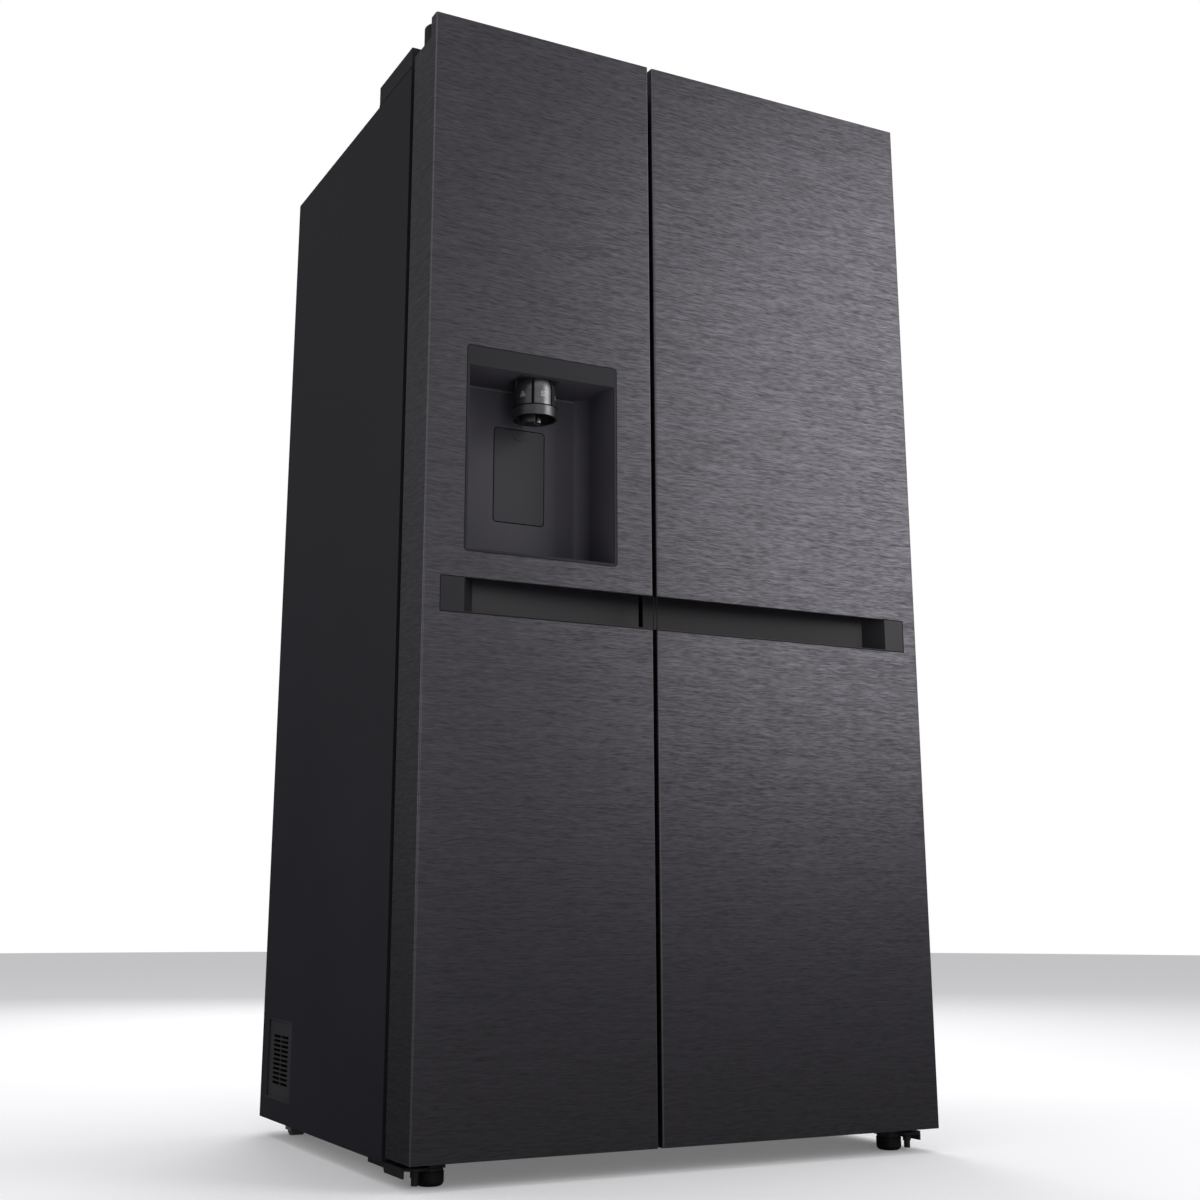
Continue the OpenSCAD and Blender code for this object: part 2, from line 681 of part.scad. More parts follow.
module drawer(x, y1, z) {
    lip_z = [z + drawer_h - drawer_lip, z + drawer_h - drawer_lip + 4];
    difference() {
        union() {
            tub([x[0] + drawer_side, x[1] - drawer_side], [drawer_y + 4, y1], [z, z + drawer_h - 4], 3);
            block([x[0] + 4, x[1] - 4], [drawer_y, drawer_y + drawer_front_t], [z, z + drawer_h]);
            for (lx = [[x[0] + 2, x[0] + drawer_side + 1], [x[1] - drawer_side - 1, x[1] - 2]])
                block(lx, [drawer_y + drawer_front_t, y1 - 4], lip_z);
        }
        block([(x[0] + x[1]) / 2 - 60, (x[0] + x[1]) / 2 + 60],
            [drawer_y - past, drawer_y + drawer_front_t + past],
            [z + drawer_h - 24, z + drawer_h + past]);
    }
}
module lower_freezer_drawer() {
    color([0.8, 0.88, 0.9, 0.6]) centred() drawer(freezer_x, hump_y - 6, drawer_z[0]);
}
module upper_freezer_drawer() {
    color([0.8, 0.88, 0.9, 0.6]) centred() drawer(freezer_x, evap_y - 10, drawer_z[1]);
}
module lower_crisper() {
    color([0.8, 0.88, 0.9, 0.6]) centred() drawer(fridge_x, hump_y - 6, drawer_z[0]);
}
module upper_crisper() {
    color([0.8, 0.88, 0.9, 0.6]) centred() drawer(fridge_x, in_y1 - 30, drawer_z[1]);
}

// ---------------------------------------------------------------- ice
module ice_maker() {
    color("lightgray") centred() {
        // Hanger, bearing arm and drive box of the tray
        block([tray_x - 70, tray_x + 70], [tray_y[0] - 50, tray_y[1] + 18], [tray_z + 64, tray_z + 70]);
        block([tray_x - 50, tray_x + 50], [tray_y[0] - 48, tray_y[0] - 6], [tray_z - 26, tray_z + 64]);
        difference() {
            block([tray_x - 14, tray_x + 14], [tray_y[1] + 6, tray_y[1] + 14], [tray_z - 14, tray_z + 64]);
            rod_y(tray_x, [tray_y[1], tray_y[1] + 30], tray_z, 5 + run_fit);
        }
        for (x = [-60, 48]) for (y = [tray_y[0] - 40, tray_y[1]])
            block([tray_x + x, tray_x + x + 12], [y, y + 12], [tray_z + 70, in_z1]);
        // Motor housing of the auger
        difference() {
            block([freezer_x[0] + 24, freezer_x[1] - 24], [evap_y - 10, in_y1],
                [bin_z[0] - 6, bin_z[1] + 12]);
            rod_y(disp_mid, [evap_y - 20, evap_y + 16], auger_z, 6 + run_fit);
        }
    }
}
module ice_tray() {
    cups = 6;
    pitch = (tray_size[1] - 6) / cups;
    color("white") centred() difference() {
        union() {
            block([tray_x - tray_size[0] / 2, tray_x + tray_size[0] / 2], tray_y,
                [tray_z - tray_size[2] + 8, tray_z + 8]);
            rod_y(tray_x, [tray_y[0] - 5, tray_y[1] + 13], tray_z, 5);
        }
        for (i = [0:cups - 1]) for (side = [0, 1])
            block([tray_x - 50 + side * 52, tray_x - 2 + side * 52],
                [tray_y[0] + 5 + i * pitch, tray_y[0] + 1 + (i + 1) * pitch],
                [tray_z - tray_size[2] + 11, tray_z + 9]);
    }
}
module ice_bin() {
    nose_x = [disp_mid - 34, disp_mid + 34];
    body_x = [freezer_x[0] + 30, freezer_x[1] - 30];
    y1 = evap_y - 12;
    top = ice_shelf_z + slide_fit;
    color([0.85, 0.9, 0.92, 0.7]) centred() difference() {
        union() {
            block(body_x, [inner_y + 2, y1], [top, bin_z[1]]);
            block(nose_x, [bin_nose_y, inner_y + 10], [bin_z[0], bin_z[1] - 70]);
        }
        block([body_x[0] + bin_wall, body_x[1] - bin_wall], [inner_y + 2 + bin_wall, y1 - bin_wall],
            [bin_z[0] + 4, bin_z[1] + past]);
        block([nose_x[0] + bin_wall, nose_x[1] - bin_wall], [bin_nose_y + bin_wall, inner_y + 20],
            [bin_z[0] + 4, bin_z[1] - 70 - bin_wall]);
        block([nose_x[0] + 6, nose_x[1] - 6], [bin_nose_y + 8, bin_nose_y + 62], [top, bin_z[0] + 10]);
        rod_y(disp_mid, [y1 - 10, y1 + 10], auger_z, 6 + run_fit);
    }
}
module ice_auger() {
    y = [bin_nose_y + 14, evap_y + 4];
    blades = 14;
    pitch = (y[1] - y[0] - 50) / blades;
    color("silver") centred() {
        rod_y(disp_mid, y, auger_z, 6);
        for (i = [0:blades - 1]) translate([disp_mid, y[0] + 10 + i * pitch, auger_z])
            rotate([0, i * 40, 0]) cube([2 * auger_r - 6, 4, 14], center = true);
    }
}

// ---------------------------------------------------------------- feet and rollers
module foot() {
    edge = 7;
    cup_h = 20;
    difference() {
        rotate_extrude() polygon(concat([[0, 0]],
            [for (a = [-90:15:0]) [foot_r - edge + edge * cos(a), edge + edge * sin(a)]],
            [[foot_r, cup_h], [0, cup_h]]));
        rod_z(0, 0, [5, cup_h + past], foot_r - 4);
    }
    rod_z(0, 0, [3, cup_h + 14], stud_r);
}
module left_foot() {
    color([0.06, 0.06, 0.07]) centred() translate([foot_at[0], foot_at[1], 0]) foot();
}
module right_foot() {
    color([0.06, 0.06, 0.07]) centred() translate([body_w - foot_at[0], foot_at[1], 0]) foot();
}
module roller() {
    difference() {
        rod_x([-roller_w / 2, roller_w / 2], 0, 0, roller_r);
        rod_x([-roller_w, roller_w], 0, 0, axle_r + run_fit);
    }
}
module left_roller() {
    color([0.1, 0.1, 0.1]) centred() translate([roller_at[0], roller_at[1], roller_r]) roller();
}
module right_roller() {
    color([0.1, 0.1, 0.1]) centred() translate([body_w - roller_at[0], roller_at[1], roller_r]) roller();
}

// ---------------------------------------------------------------- doors
// A block with its two front vertical edges rounded
module rounded_front(x, y, z, r) {
    block(x, [y[0] + r, y[1]], z);
    block([x[0] + r, x[1] - r], y, z);
    for (cx = [x[0] + r, x[1] - r]) rod_z(cx, y[0] + r, z, r);
}

// Depth of the handle recess behind the door front, a quarter sine after the steep end
recess_x1 = recess_x0 + bevel_x;
function recess_curve(w, more) = [for (i = [0:8])
    [recess_x1 + i * (w + past - recess_x1) / 8,
     handle_bevel_depth + more + (handle_depth - handle_bevel_depth) * sin(i * 90 / 8)]];
function recess_plan(w) = concat([[recess_x0, -past], [recess_x0, 0]], recess_curve(w, 0),
    [[w + past, -past]]);
// The space in the door that the handle strip fills
module handle_block(w, z, front) {
    plan(z, concat([[handle_margin, front], [handle_margin, 5], [recess_x0 - 4, 5],
        [recess_x1 - 3, handle_bevel_depth + handle_wall]], recess_curve(w, handle_wall),
        [[w + past, front]]));
}
module handle(w) {
    z = [handle_z0 - 4, handle_z1 + groove_h + 3];
    difference() {
        union() {
            intersection() {
                handle_block(w, z, sheet);
                rounded_front([sheet, w - sheet], [sheet, door_t], z, max(door_edge_r - sheet, 0.3));
            }
            intersection() {
                handle_block(w, [handle_z0, handle_z1], 0);
                block([0, w - 0.2], [0, door_t], z);
            }
        }
        plan([handle_z0 + 1.5, handle_z1], recess_plan(w));
        intersection() {
            plan([handle_z1 - past, handle_z1 + groove_h], recess_plan(w));
            block([recess_x0 + 12, w + past], [handle_lip, door_t], [handle_z0, total_h]);
        }
    }
}

// Dispenser frame's outline, with rounded corners
module frame_block(y) {
    plate(disp_x, y, [disp_z0, disp_z1], 5);
}
// A slab with rounded corners, seen from the front
module plate(x, y, z, r) {
    block([x[0] + r, x[1] - r], y, z);
    block(x, y, [z[0] + r, z[1] - r]);
    for (cx = [x[0] + r, x[1] - r]) for (cz = [z[0] + r, z[1] - r]) rod_y(cx, y, cz, r);
}
module pocket_block(t) {
    side = paddle_w / 2 + paddle_gap + t;
    plate([disp_mid - side, disp_mid + side], [dispenser_depth - past, pocket_y + t],
        [paddle_z[0] - paddle_gap - t, paddle_z[1] + paddle_gap + t], paddle_corner + paddle_gap);
}
chute_outer = [[chute_front[0], ceiling_z], [chute_front[1], ceiling_z], [chute_front[1], disp_z1 - 24],
    [chute_mouth[1], chute_top - 24], [chute_mouth[1], chute_top], [chute_mouth[0], chute_top],
    [chute_mouth[0], chute_top - 12], [chute_front[0], disp_z1 + 22]];
module chute_block() {
    side_profile(chute_x, chute_outer);
}

module door_skin(w, has_dispenser) {
    side_x = [[0, sheet], [w - sheet, w]];
    difference() {
        union() {
            difference() {
                union() {
                    rounded_front([0, w], [0, door_t], [door_z[0], cap_z], door_edge_r);
                    rounded_front([0, w], [0, lip_d], door_z, door_edge_r);
                }
                rounded_front([sheet, w - sheet], [sheet, door_t + past], [0, total_h + past],
                    max(door_edge_r - sheet, 0.3));
            }
            for (x = [[sheet, liner_margin], [w - liner_margin, w - sheet]])
                block(x, [door_t - sheet, door_t], foam_z);
        }
        block([handle_margin, w + past], [-past, sheet + door_edge_r], [handle_z0, handle_z1]);
        block([w - sheet - past, w + past], [-past, handle_depth + handle_wall], [handle_z0, handle_z1]);
        block([w - sheet - past, w + past], [handle_lip, handle_depth], [handle_z0, handle_z1 + groove_h]);
        if (has_dispenser) frame_block([-past, sheet + past]);
    }
}

module door_foam(w, has_dispenser) {
    difference() {
        union() {
            rounded_front([sheet, w - sheet], [sheet, door_t - liner_t], foam_z,
                max(door_edge_r - sheet, 0.3));
            if (has_dispenser) block([bin_x0 + liner_t, w - bin_free_edge - liner_t],
                [door_t - 2 * liner_t, bulge_y - liner_t], [bulge_z[0] + liner_t, bulge_z[1] - liner_t]);
        }
        handle_block(w, [handle_z0 - 4, handle_z1 + groove_h + 3], -past);
        for (z = [[door_z[0], door_z[0] + boss_h + past], [cap_z - boss_h - past, cap_z]])
            rod_z(pin_x, pin_y, z, boss_r);
        if (has_dispenser) {
            frame_block([-past, dispenser_depth + disp_wall]);
            pocket_block(3.5);
            chute_block();
        }
    }
}

module door_liner(w, has_dispenser) {
    x = [bin_x0 - dyke_t, w - bin_free_edge + dyke_t];
    z = dyke_z;
    plate_x = [liner_margin, w - liner_margin];
    difference() {
        union() {
            block(plate_x, [door_t - liner_t, door_t], foam_z);
            difference() {
                block(x, [door_t - liner_t, dyke_d], z);
                block([x[0] + dyke_t, x[1] - dyke_t], [door_t, dyke_d + past],
                    [z[0] + dyke_t, z[1] - dyke_t]);
            }
            if (has_dispenser) block([bin_x0, w - bin_free_edge], [door_t - liner_t, bulge_y], bulge_z);
        }
        if (has_dispenser) {
            block([bin_x0 + liner_t, w - bin_free_edge - liner_t], [door_t - 2 * liner_t, bulge_y - liner_t],
                [bulge_z[0] + liner_t, bulge_z[1] - liner_t]);
            chute_block();
        }
    }
}

module door_gasket(w) {
    x = [gasket_edge, w - gasket_free_edge];
    z = [in_z0 - 22, in_z1 + 22];
    y = [door_t, cab_y0 - slide_fit];
    difference() {
        block(x, y, z);
        block([x[0] + gasket_w, x[1] - gasket_w], [y[0] - past, y[1] + past],
            [z[0] + gasket_w, z[1] - gasket_w]);
        for (s = [[x[0] - past, x[0] + 3], [x[1] - 3, x[1] + past]])
            block(s, [y[0] + 4, y[1] - 3], [z[0] - past, z[1] + past]);
    }
}

module door_caps(w) {
    bore_r = pin_r + run_fit;
    intersection() {
        union() {
            difference() {
                union() {
                    block([sheet, w - sheet], [sheet, door_t - sheet], [cap_z - cap_t, cap_z]);
                    block([sheet, w - sheet], [sheet, lip_d], [cap_z - cap_t, total_h - 1]);
                    rod_z(pin_x, pin_y, [cap_z - boss_h - past, cap_z], boss_r);
                }
                rod_z(pin_x, pin_y, [cap_z - boss_h - 0.5, cap_z + past], bore_r);
            }
            difference() {
                union() {
                    block([sheet, w - sheet], [sheet, door_t - sheet], [door_z[0], door_z[0] + cap_t]);
                    rod_z(pin_x, pin_y, [door_z[0], door_z[0] + boss_h + past], boss_r);
                }
                rod_z(pin_x, pin_y, [door_z[0] - past, door_z[0] + boss_h - 3], bore_r);
            }
        }
        rounded_front([sheet, w - sheet], [sheet, door_t], [0, total_h], max(door_edge_r - sheet, 0.3));
    }
}

// One bin that hooks between the door liner's dykes
module door_bin(w, y1, z, h) {
    x = [bin_x0 + 0.5, w - bin_free_edge - 0.5];
    difference() {
        union() {
            tub(x, [door_t + 0.3, y1], [z, z + h], 3);
            block(x, [y1 - 2, y1 + 1], [z + h - 22, z + h]);
        }
        block([x[0] + 30, x[1] - 30], [y1 - 8, y1 + 2], [z + h - 12, z + h + past]);
    }
}
module freezer_door_skin() {
    color([0.42, 0.41, 0.43]) centred() door_side("left") door_skin(freezer_door_w, true);
}
module freezer_door_foam() {
    color("khaki") centred() door_side("left") door_foam(freezer_door_w, true);
}
module freezer_door_liner() {
    color("white") centred() door_side("left") door_liner(freezer_door_w, true);
}
module freezer_door_gasket() {
    color("lightgray") centred() door_side("left") door_gasket(freezer_door_w);
}
module freezer_door_caps() {
    color([0.2, 0.2, 0.21]) centred() door_side("left") door_caps(freezer_door_w);
}
module freezer_handle() {
    color([0.25, 0.24, 0.26]) centred() door_side("left") handle(freezer_door_w);
}
module freezer_door_bins() {
    color([0.85, 0.9, 0.92, 0.6]) centred() door_side("left") {
        for (z = freezer_bin_z) door_bin(freezer_door_w, bin_reach(z), z, bin_h);
        door_bin(freezer_door_w, bin_back, bin_z[1] + 20, bin_h);
    }
}
module fridge_door_skin() {
    color([0.5, 0.49, 0.51]) centred() door_side("right") door_skin(fridge_door_w, false);
}
module fridge_door_foam() {
    color("khaki") centred() door_side("right") door_foam(fridge_door_w, false);
}
module fridge_door_liner() {
    color("white") centred() door_side("right") door_liner(fridge_door_w, false);
}
module fridge_door_gasket() {
    color("lightgray") centred() door_side("right") door_gasket(fridge_door_w);
}
module fridge_door_caps() {
    color([0.2, 0.2, 0.21]) centred() door_side("right") door_caps(fridge_door_w);
}
module fridge_handle() {
    color([0.25, 0.24, 0.26]) centred() door_side("right") handle(fridge_door_w);
}
// Five bins and, at the top, the dairy box with the bores of its lid
module fridge_door_bins() {
    color([0.85, 0.9, 0.92, 0.6]) centred() door_side("right") {
        for (z = fridge_bin_z) door_bin(fridge_door_w, bin_reach(z), z, bin_h);
        tub(dairy_x, [door_t + 0.3, dairy_front], [dairy_z[0], dairy_z[1] - 10], 3);
        for (x = [dairy_x[0], dairy_x[1] - 3]) difference() {
            block([x, x + 3], [door_t + 0.3, door_t + 22], [dairy_z[1] - 20, dairy_z[1]]);
            rod_x([x - past, x + 4], dairy_pivot[0], dairy_pivot[1], 3 + run_fit);
        }
    }
}
module dairy_lid() {
    x = [dairy_x[0] + 3.4, dairy_x[1] - 3.4];
    z = dairy_pivot[1];
    color([0.85, 0.9, 0.92, 0.6]) centred() door_side("right") {
        rod_x([x[0] - 2.6, x[1] + 2.6], dairy_pivot[0], z, 3);
        block(x, [dairy_pivot[0], dairy_front + 4], [z - 1.5, z + 1.5]);
        block(x, [dairy_front + 1, dairy_front + 4], [z - 14, z + 1.5]);
    }
}

// ---------------------------------------------------------------- dispenser
module dispenser_cavity() {
    x = [disp_x[0] + disp_border, disp_x[1] - disp_border];
    inner = [x[0] + flare[0], x[1] - flare[0]];
    z = [disp_z0 + disp_border, ceiling_z];
    arc_y = dispenser_depth - corner_r;
    plan(z, [[x[0], -past], [x[1], -past], [x[1], 0], [inner[1], flare[1]], [inner[1], arc_y],
        [inner[0], arc_y], [inner[0], flare[1]], [x[0], 0]]);
    block([inner[0] + corner_r, inner[1] - corner_r], [arc_y - past, dispenser_depth], z);
    for (cx = [inner[0] + corner_r, inner[1] - corner_r]) rod_z(cx, arc_y, z, corner_r);
}
module dispenser_housing() {
    color([0.21, 0.205, 0.22]) centred() {
        difference() {
            union() {
                frame_block([0, dispenser_depth + disp_wall]);
                pocket_block(3.5);
            }
            dispenser_cavity();
            pocket_block(0);
            chute_block();
            rod_x([disp_mid - paddle_w / 2 - paddle_gap - 3, disp_mid + paddle_w / 2 + paddle_gap + 3],
                paddle_pivot[0], paddle_pivot[1], 3 + run_fit);
        }
        for (x = [disp_x[0] + 40, disp_x[1] - 74])
            rod_x([x, x + 34], dispenser_depth, ceiling_z - 3, 2);
    }
}

module spout_body() {
    color([0.2, 0.2, 0.21]) centred() translate([spout_x, spout_y, 0]) difference() {
        union() {
            rod_z(0, 0, [ring_z[1], ceiling_z], core_r);
            rod_z(0, 0, [ring_z[1], button_z[0] - 0.5], button_r - 2);
            intersection() {
                rod_z(0, 0, [ring_z[1], ceiling_z], button_r);
                block([-button_r, button_r], [2, button_r], [ring_z[0], ceiling_z]);
            }
        }
        rod_z(0, 0, [ring_z[1] - past, ceiling_z + past], bore_r);
        for (a = [-1, 0, 1]) rotate([0, 0, -90 + a * button_pitch])
            block([bore_r - 2, button_r], [-2 - slide_fit, 2 + slide_fit],
                [ceiling_z - 24 - slide_fit, ceiling_z - 12 + slide_fit]);
    }
}
// Collar under the knob, with a short skirt on its left and the water nozzle on a web
module spout_ring() {
    skirt_z = [ring_z[0] - 10, ring_z[1]];
    nozzle = [2, -7];
    color("silver") centred() translate([spout_x, spout_y, 0]) difference() {
        union() {
            rod_z(0, 0, [ring_z[1] - 3, ring_z[1]], ring_r);
            difference() {
                rod_z(0, 0, ring_z, ring_r);
                rod_z(0, 0, [ring_z[0] - past, ring_z[1] - 2], ring_r - 4);
            }
            difference() {
                rod_z(0, 0, skirt_z, 24);
                rod_z(0, 0, [skirt_z[0] - past, ring_z[1] - 2], 22);
                block([-9, 26], [-26, 26], [skirt_z[0] - past, ring_z[1] - 2]);
                block([-26, 26], [14, 26], [skirt_z[0] - past, ring_z[1] - 2]);
            }
        }
        difference() {
            rod_z(0, 0, [skirt_z[0] - past, ring_z[1] + past], bore_r);
            rod_z(nozzle[0], nozzle[1], [ring_z[0] - 5, ring_z[1]], 6);
            block([nozzle[0] - 2, nozzle[0] + 2], [-ring_r, nozzle[1]], [ring_z[1] - 5, ring_z[1]]);
        }
        rod_z(nozzle[0], nozzle[1], [ring_z[0] - 6, ring_z[1] + past], 4);
    }
}
module button(a) {
    // The outside leans in over its upper part, on a quarter ellipse that the ceiling cuts off
    shoulder = [13, 28];
    rise = 21.4;
    last = asin(rise / shoulder[1]);
    color("silver") centred() translate([spout_x, spout_y, 0]) rotate([0, 0, -90 + a * button_pitch]) {
        rotate([0, 0, -button_angle / 2]) rotate_extrude(angle = button_angle, $fn = 96)
            polygon(concat([[button_inner_r, button_z[0]], [button_r, button_z[0]]],
                [for (i = [0:8]) [button_r + shoulder[0] * (cos(i * last / 8) - 1),
                    button_z[1] - rise + shoulder[1] * sin(i * last / 8)]],
                [[button_inner_r, button_z[1]]]));
        block([bore_r + button_travel + 0.7, button_inner_r + 2], [-2, 2], [ceiling_z - 24, ceiling_z - 12]);
    }
}
module left_button() {
    button(-1);
}
module middle_button() {
    button(0);
}
module right_button() {
    button(1);
}
module dispenser_paddle() {
    x = [disp_mid - paddle_w / 2, disp_mid + paddle_w / 2];
    y = [paddle_y, paddle_y + paddle_t];
    ledge_r = 13;
    ledge_z = paddle_z[1] - 5;
    color([0.24, 0.235, 0.25]) centred() {
        plate(x, y, paddle_z, paddle_corner);
        rod_x([x[0] - 3.5, x[1] + 3.5], paddle_pivot[0], paddle_pivot[1], 3);
        // Half-moon ledge near the top
        intersection() {
            rod_y(disp_mid, [y[0] - 1.2, y[0] + 1], ledge_z, ledge_r);
            block([disp_mid - ledge_r, disp_mid + ledge_r], [y[0] - 1.2, y[0] + 1],
                [ledge_z - ledge_r, ledge_z - 5]);
        }
    }
}
module drip_tray() {
    x = [disp_x[0] + 16, disp_x[1] - 16];
    z = disp_z0 + disp_border;
    color([0.16, 0.16, 0.17]) centred() difference() {
        block(x, [28, dispenser_depth - corner_r - 2], [z, z + 5]);
        for (i = [0:14]) block([x[0] + 8 + i * 14.8, x[0] + 14 + i * 14.8],
            [32, dispenser_depth - corner_r - 6], [z + 1.5, z + 6]);
    }
}
module ice_chute() {
    t = chute_wall;
    color("lightgray") centred() difference() {
        chute_block();
        side_profile([chute_x[0] + t, chute_x[1] - t],
            [[chute_front[0] + t, ceiling_z + t], [chute_front[1] - t, ceiling_z + t],
             [chute_front[1] - t, disp_z1 - 23], [chute_mouth[1] - t, chute_top - 23],
             [chute_mouth[1] - t, chute_top + past], [chute_mouth[0] + t, chute_top + past],
             [chute_mouth[0] + t, chute_top - 14], [chute_front[0] + t, disp_z1 + 20]]);
        rod_z(spout_x, spout_y, [ceiling_z - past, ceiling_z + 4], bore_r);
        rod_x([chute_x[0] - past, chute_x[1] + past], flap_pivot[0], flap_pivot[1], 2.5 + run_fit);
    }
}
module ice_flap() {
    x = [chute_x[0] + chute_wall + 1, chute_x[1] - chute_wall - 1];
    color("gray") centred() {
        rod_x([chute_x[0] + 0.4, chute_x[1] - 0.4], flap_pivot[0], flap_pivot[1], 2.5);
        block(x, [flap_pivot[0], chute_front[1] - chute_wall - 2], [flap_pivot[1] - 2, flap_pivot[1]]);
    }
}

cabinet_panels();
back_panel();
base_plate();
cabinet_foam();
cabinet_liners();
front_frame();
side_grilles();
hinges();
hinge_covers();
machine_cover();
compressor();
drain_pan();
coils();
fan_motors();
condenser_fan();
evaporator_fan();
evaporator_cover();
air_duct();
shelf_frames();
shelf_glass();
lower_freezer_drawer();
upper_freezer_drawer();
lower_crisper();
upper_crisper();
ice_maker();
ice_tray();
ice_bin();
ice_auger();
lamps();
control_box();
left_foot();
right_foot();
left_roller();
right_roller();
freezer_door_skin();
freezer_door_foam();
freezer_door_liner();
freezer_door_gasket();
freezer_door_caps();
freezer_handle();
freezer_door_bins();
dispenser_housing();
spout_body();
spout_ring();
drip_tray();
dispenser_paddle();
left_button();
middle_button();
right_button();
ice_chute();
ice_flap();
fridge_door_skin();
fridge_door_foam();
fridge_door_liner();
fridge_door_gasket();
fridge_door_caps();
fridge_handle();
fridge_door_bins();
dairy_lid();
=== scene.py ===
"""Side-by-side refrigerator with an ice and water dispenser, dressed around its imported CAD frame."""
import json
from math import cos, pi, radians, sin

import bmesh
import bpy
from mathutils import Matrix, Vector

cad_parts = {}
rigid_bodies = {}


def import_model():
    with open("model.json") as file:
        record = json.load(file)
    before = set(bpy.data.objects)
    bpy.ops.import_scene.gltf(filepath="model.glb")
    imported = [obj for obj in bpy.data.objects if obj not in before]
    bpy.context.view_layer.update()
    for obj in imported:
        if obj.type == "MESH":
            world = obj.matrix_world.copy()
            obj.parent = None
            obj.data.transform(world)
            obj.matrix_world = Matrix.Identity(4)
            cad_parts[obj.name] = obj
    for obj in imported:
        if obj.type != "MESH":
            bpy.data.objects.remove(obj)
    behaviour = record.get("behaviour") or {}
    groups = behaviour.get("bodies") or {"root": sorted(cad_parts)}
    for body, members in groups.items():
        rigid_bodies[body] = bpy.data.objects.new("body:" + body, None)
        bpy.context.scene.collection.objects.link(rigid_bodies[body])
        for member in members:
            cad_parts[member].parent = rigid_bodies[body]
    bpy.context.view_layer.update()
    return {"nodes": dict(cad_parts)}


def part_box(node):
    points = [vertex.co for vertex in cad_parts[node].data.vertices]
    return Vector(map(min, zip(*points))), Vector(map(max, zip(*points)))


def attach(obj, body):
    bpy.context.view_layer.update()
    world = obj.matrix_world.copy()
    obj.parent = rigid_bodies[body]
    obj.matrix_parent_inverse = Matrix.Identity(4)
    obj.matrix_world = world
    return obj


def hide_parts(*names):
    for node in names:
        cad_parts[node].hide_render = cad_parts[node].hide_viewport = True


for leftover in list(bpy.data.objects):
    bpy.data.objects.remove(leftover)
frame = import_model()
nodes = frame["nodes"]
MM = 0.001

# ---------------------------------------------------------------- shared helpers
# Short ways to build shader nodes, to give CAD objects a material, and to turn a bmesh into
# a piece that rides on a body.


def node_tree(owner):
    owner.use_nodes = True
    owner.node_tree.nodes.clear()
    return owner.node_tree


def add(tree, kind, **inputs):
    made = tree.nodes.new("ShaderNode" + kind)
    for key, value in inputs.items():
        if key.startswith("_"):
            setattr(made, key[1:], value)
            continue
        socket = made.inputs[key.replace("_", " ")]
        if isinstance(value, bpy.types.NodeSocket):
            tree.links.new(value, socket)
        else:
            socket.default_value = value
    return made


def group(name, ins, outs):
    made = bpy.data.node_groups.new(name, "ShaderNodeTree")
    for label, kind, value in ins:
        made.interface.new_socket(label, in_out="INPUT", socket_type=kind).default_value = value
    for label, kind in outs:
        made.interface.new_socket(label, in_out="OUTPUT", socket_type=kind)
    return made, made.nodes.new("NodeGroupInput"), made.nodes.new("NodeGroupOutput")


def maths(tree, how, a, b=0.0, c=0.0):
    made = tree.nodes.new("ShaderNodeMath")
    made.operation = how
    for socket, value in zip(made.inputs, (a, b, c)):
        if isinstance(value, bpy.types.NodeSocket):
            tree.links.new(value, socket)
        else:
            socket.default_value = value
    return made.outputs[0]


def blend(tree, share, first, second):
    """The colour between first and second, by share."""
    made = add(tree, "Mix", _data_type="RGBA")
    for socket, value in ((made.inputs["Factor"], share), (made.inputs[6], first),
                          (made.inputs[7], second)):
        if isinstance(value, bpy.types.NodeSocket):
            tree.links.new(value, socket)
        else:
            socket.default_value = value
    return made.outputs[2]


def finished(tree, shader):
    """Joins a shader to the output of its tree."""
    tree.links.new(shader.outputs[0], add(tree, "OutputMaterial").inputs["Surface"])


def dress(names, material):
    for name in names:
        held = nodes[name]
        for spot in range(len(held.material_slots)):
            held.material_slots[spot].material = material


def softened(name, node, body, material, slot, fold, segments=3, shortest=0.0, clamp=True, reach=9.0):
    """A copy of a CAD shape that stands for it, with its folded edges rounded by fold. Edges no
    longer than shortest, or further back than y = reach, stay sharp."""
    bm = bmesh.new()
    bm.from_mesh(nodes[node].data)
    bmesh.ops.remove_doubles(bm, verts=bm.verts, dist=1e-6)
    bmesh.ops.dissolve_limit(bm, angle_limit=radians(0.3), verts=bm.verts, edges=bm.edges)
    folds = [e for e in bm.edges if len(e.link_faces) == 2 and e.calc_length() > shortest
             and e.calc_face_angle() > radians(25) and max(v.co.y for v in e.verts) < reach]
    bmesh.ops.bevel(bm, geom=folds, offset=fold, affect="EDGES", segments=segments, profile=0.5,
                    material=-1, clamp_overlap=clamp)
    return piece(name, bm, body, material, slot, node)


def piece(name, bm, body, material, slot, *stands_for, sharp=35):
    """Turns a bmesh into a named piece that rides on a body, with crisp edges over sharp degrees."""
    mesh = bpy.data.meshes.new(name)
    bm.to_mesh(mesh)
    bm.free()
    for left in ("custom_normal", "sharp_edge", "sharp_face"):
        if left in mesh.attributes:
            mesh.attributes.remove(mesh.attributes[left])
    mesh.materials.clear()
    mesh.materials.append(material)
    for face in mesh.polygons:
        face.material_index = 0
    mesh.shade_smooth()
    mesh.set_sharp_from_angle(angle=radians(sharp))
    made = bpy.data.objects.new(name, mesh)
    bpy.context.scene.collection.objects.link(made)
    flat = made.modifiers.new("even_flats", "WEIGHTED_NORMAL")
    flat.keep_sharp = True
    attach(made, body)
    if stands_for:
        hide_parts(*stands_for)
    return made


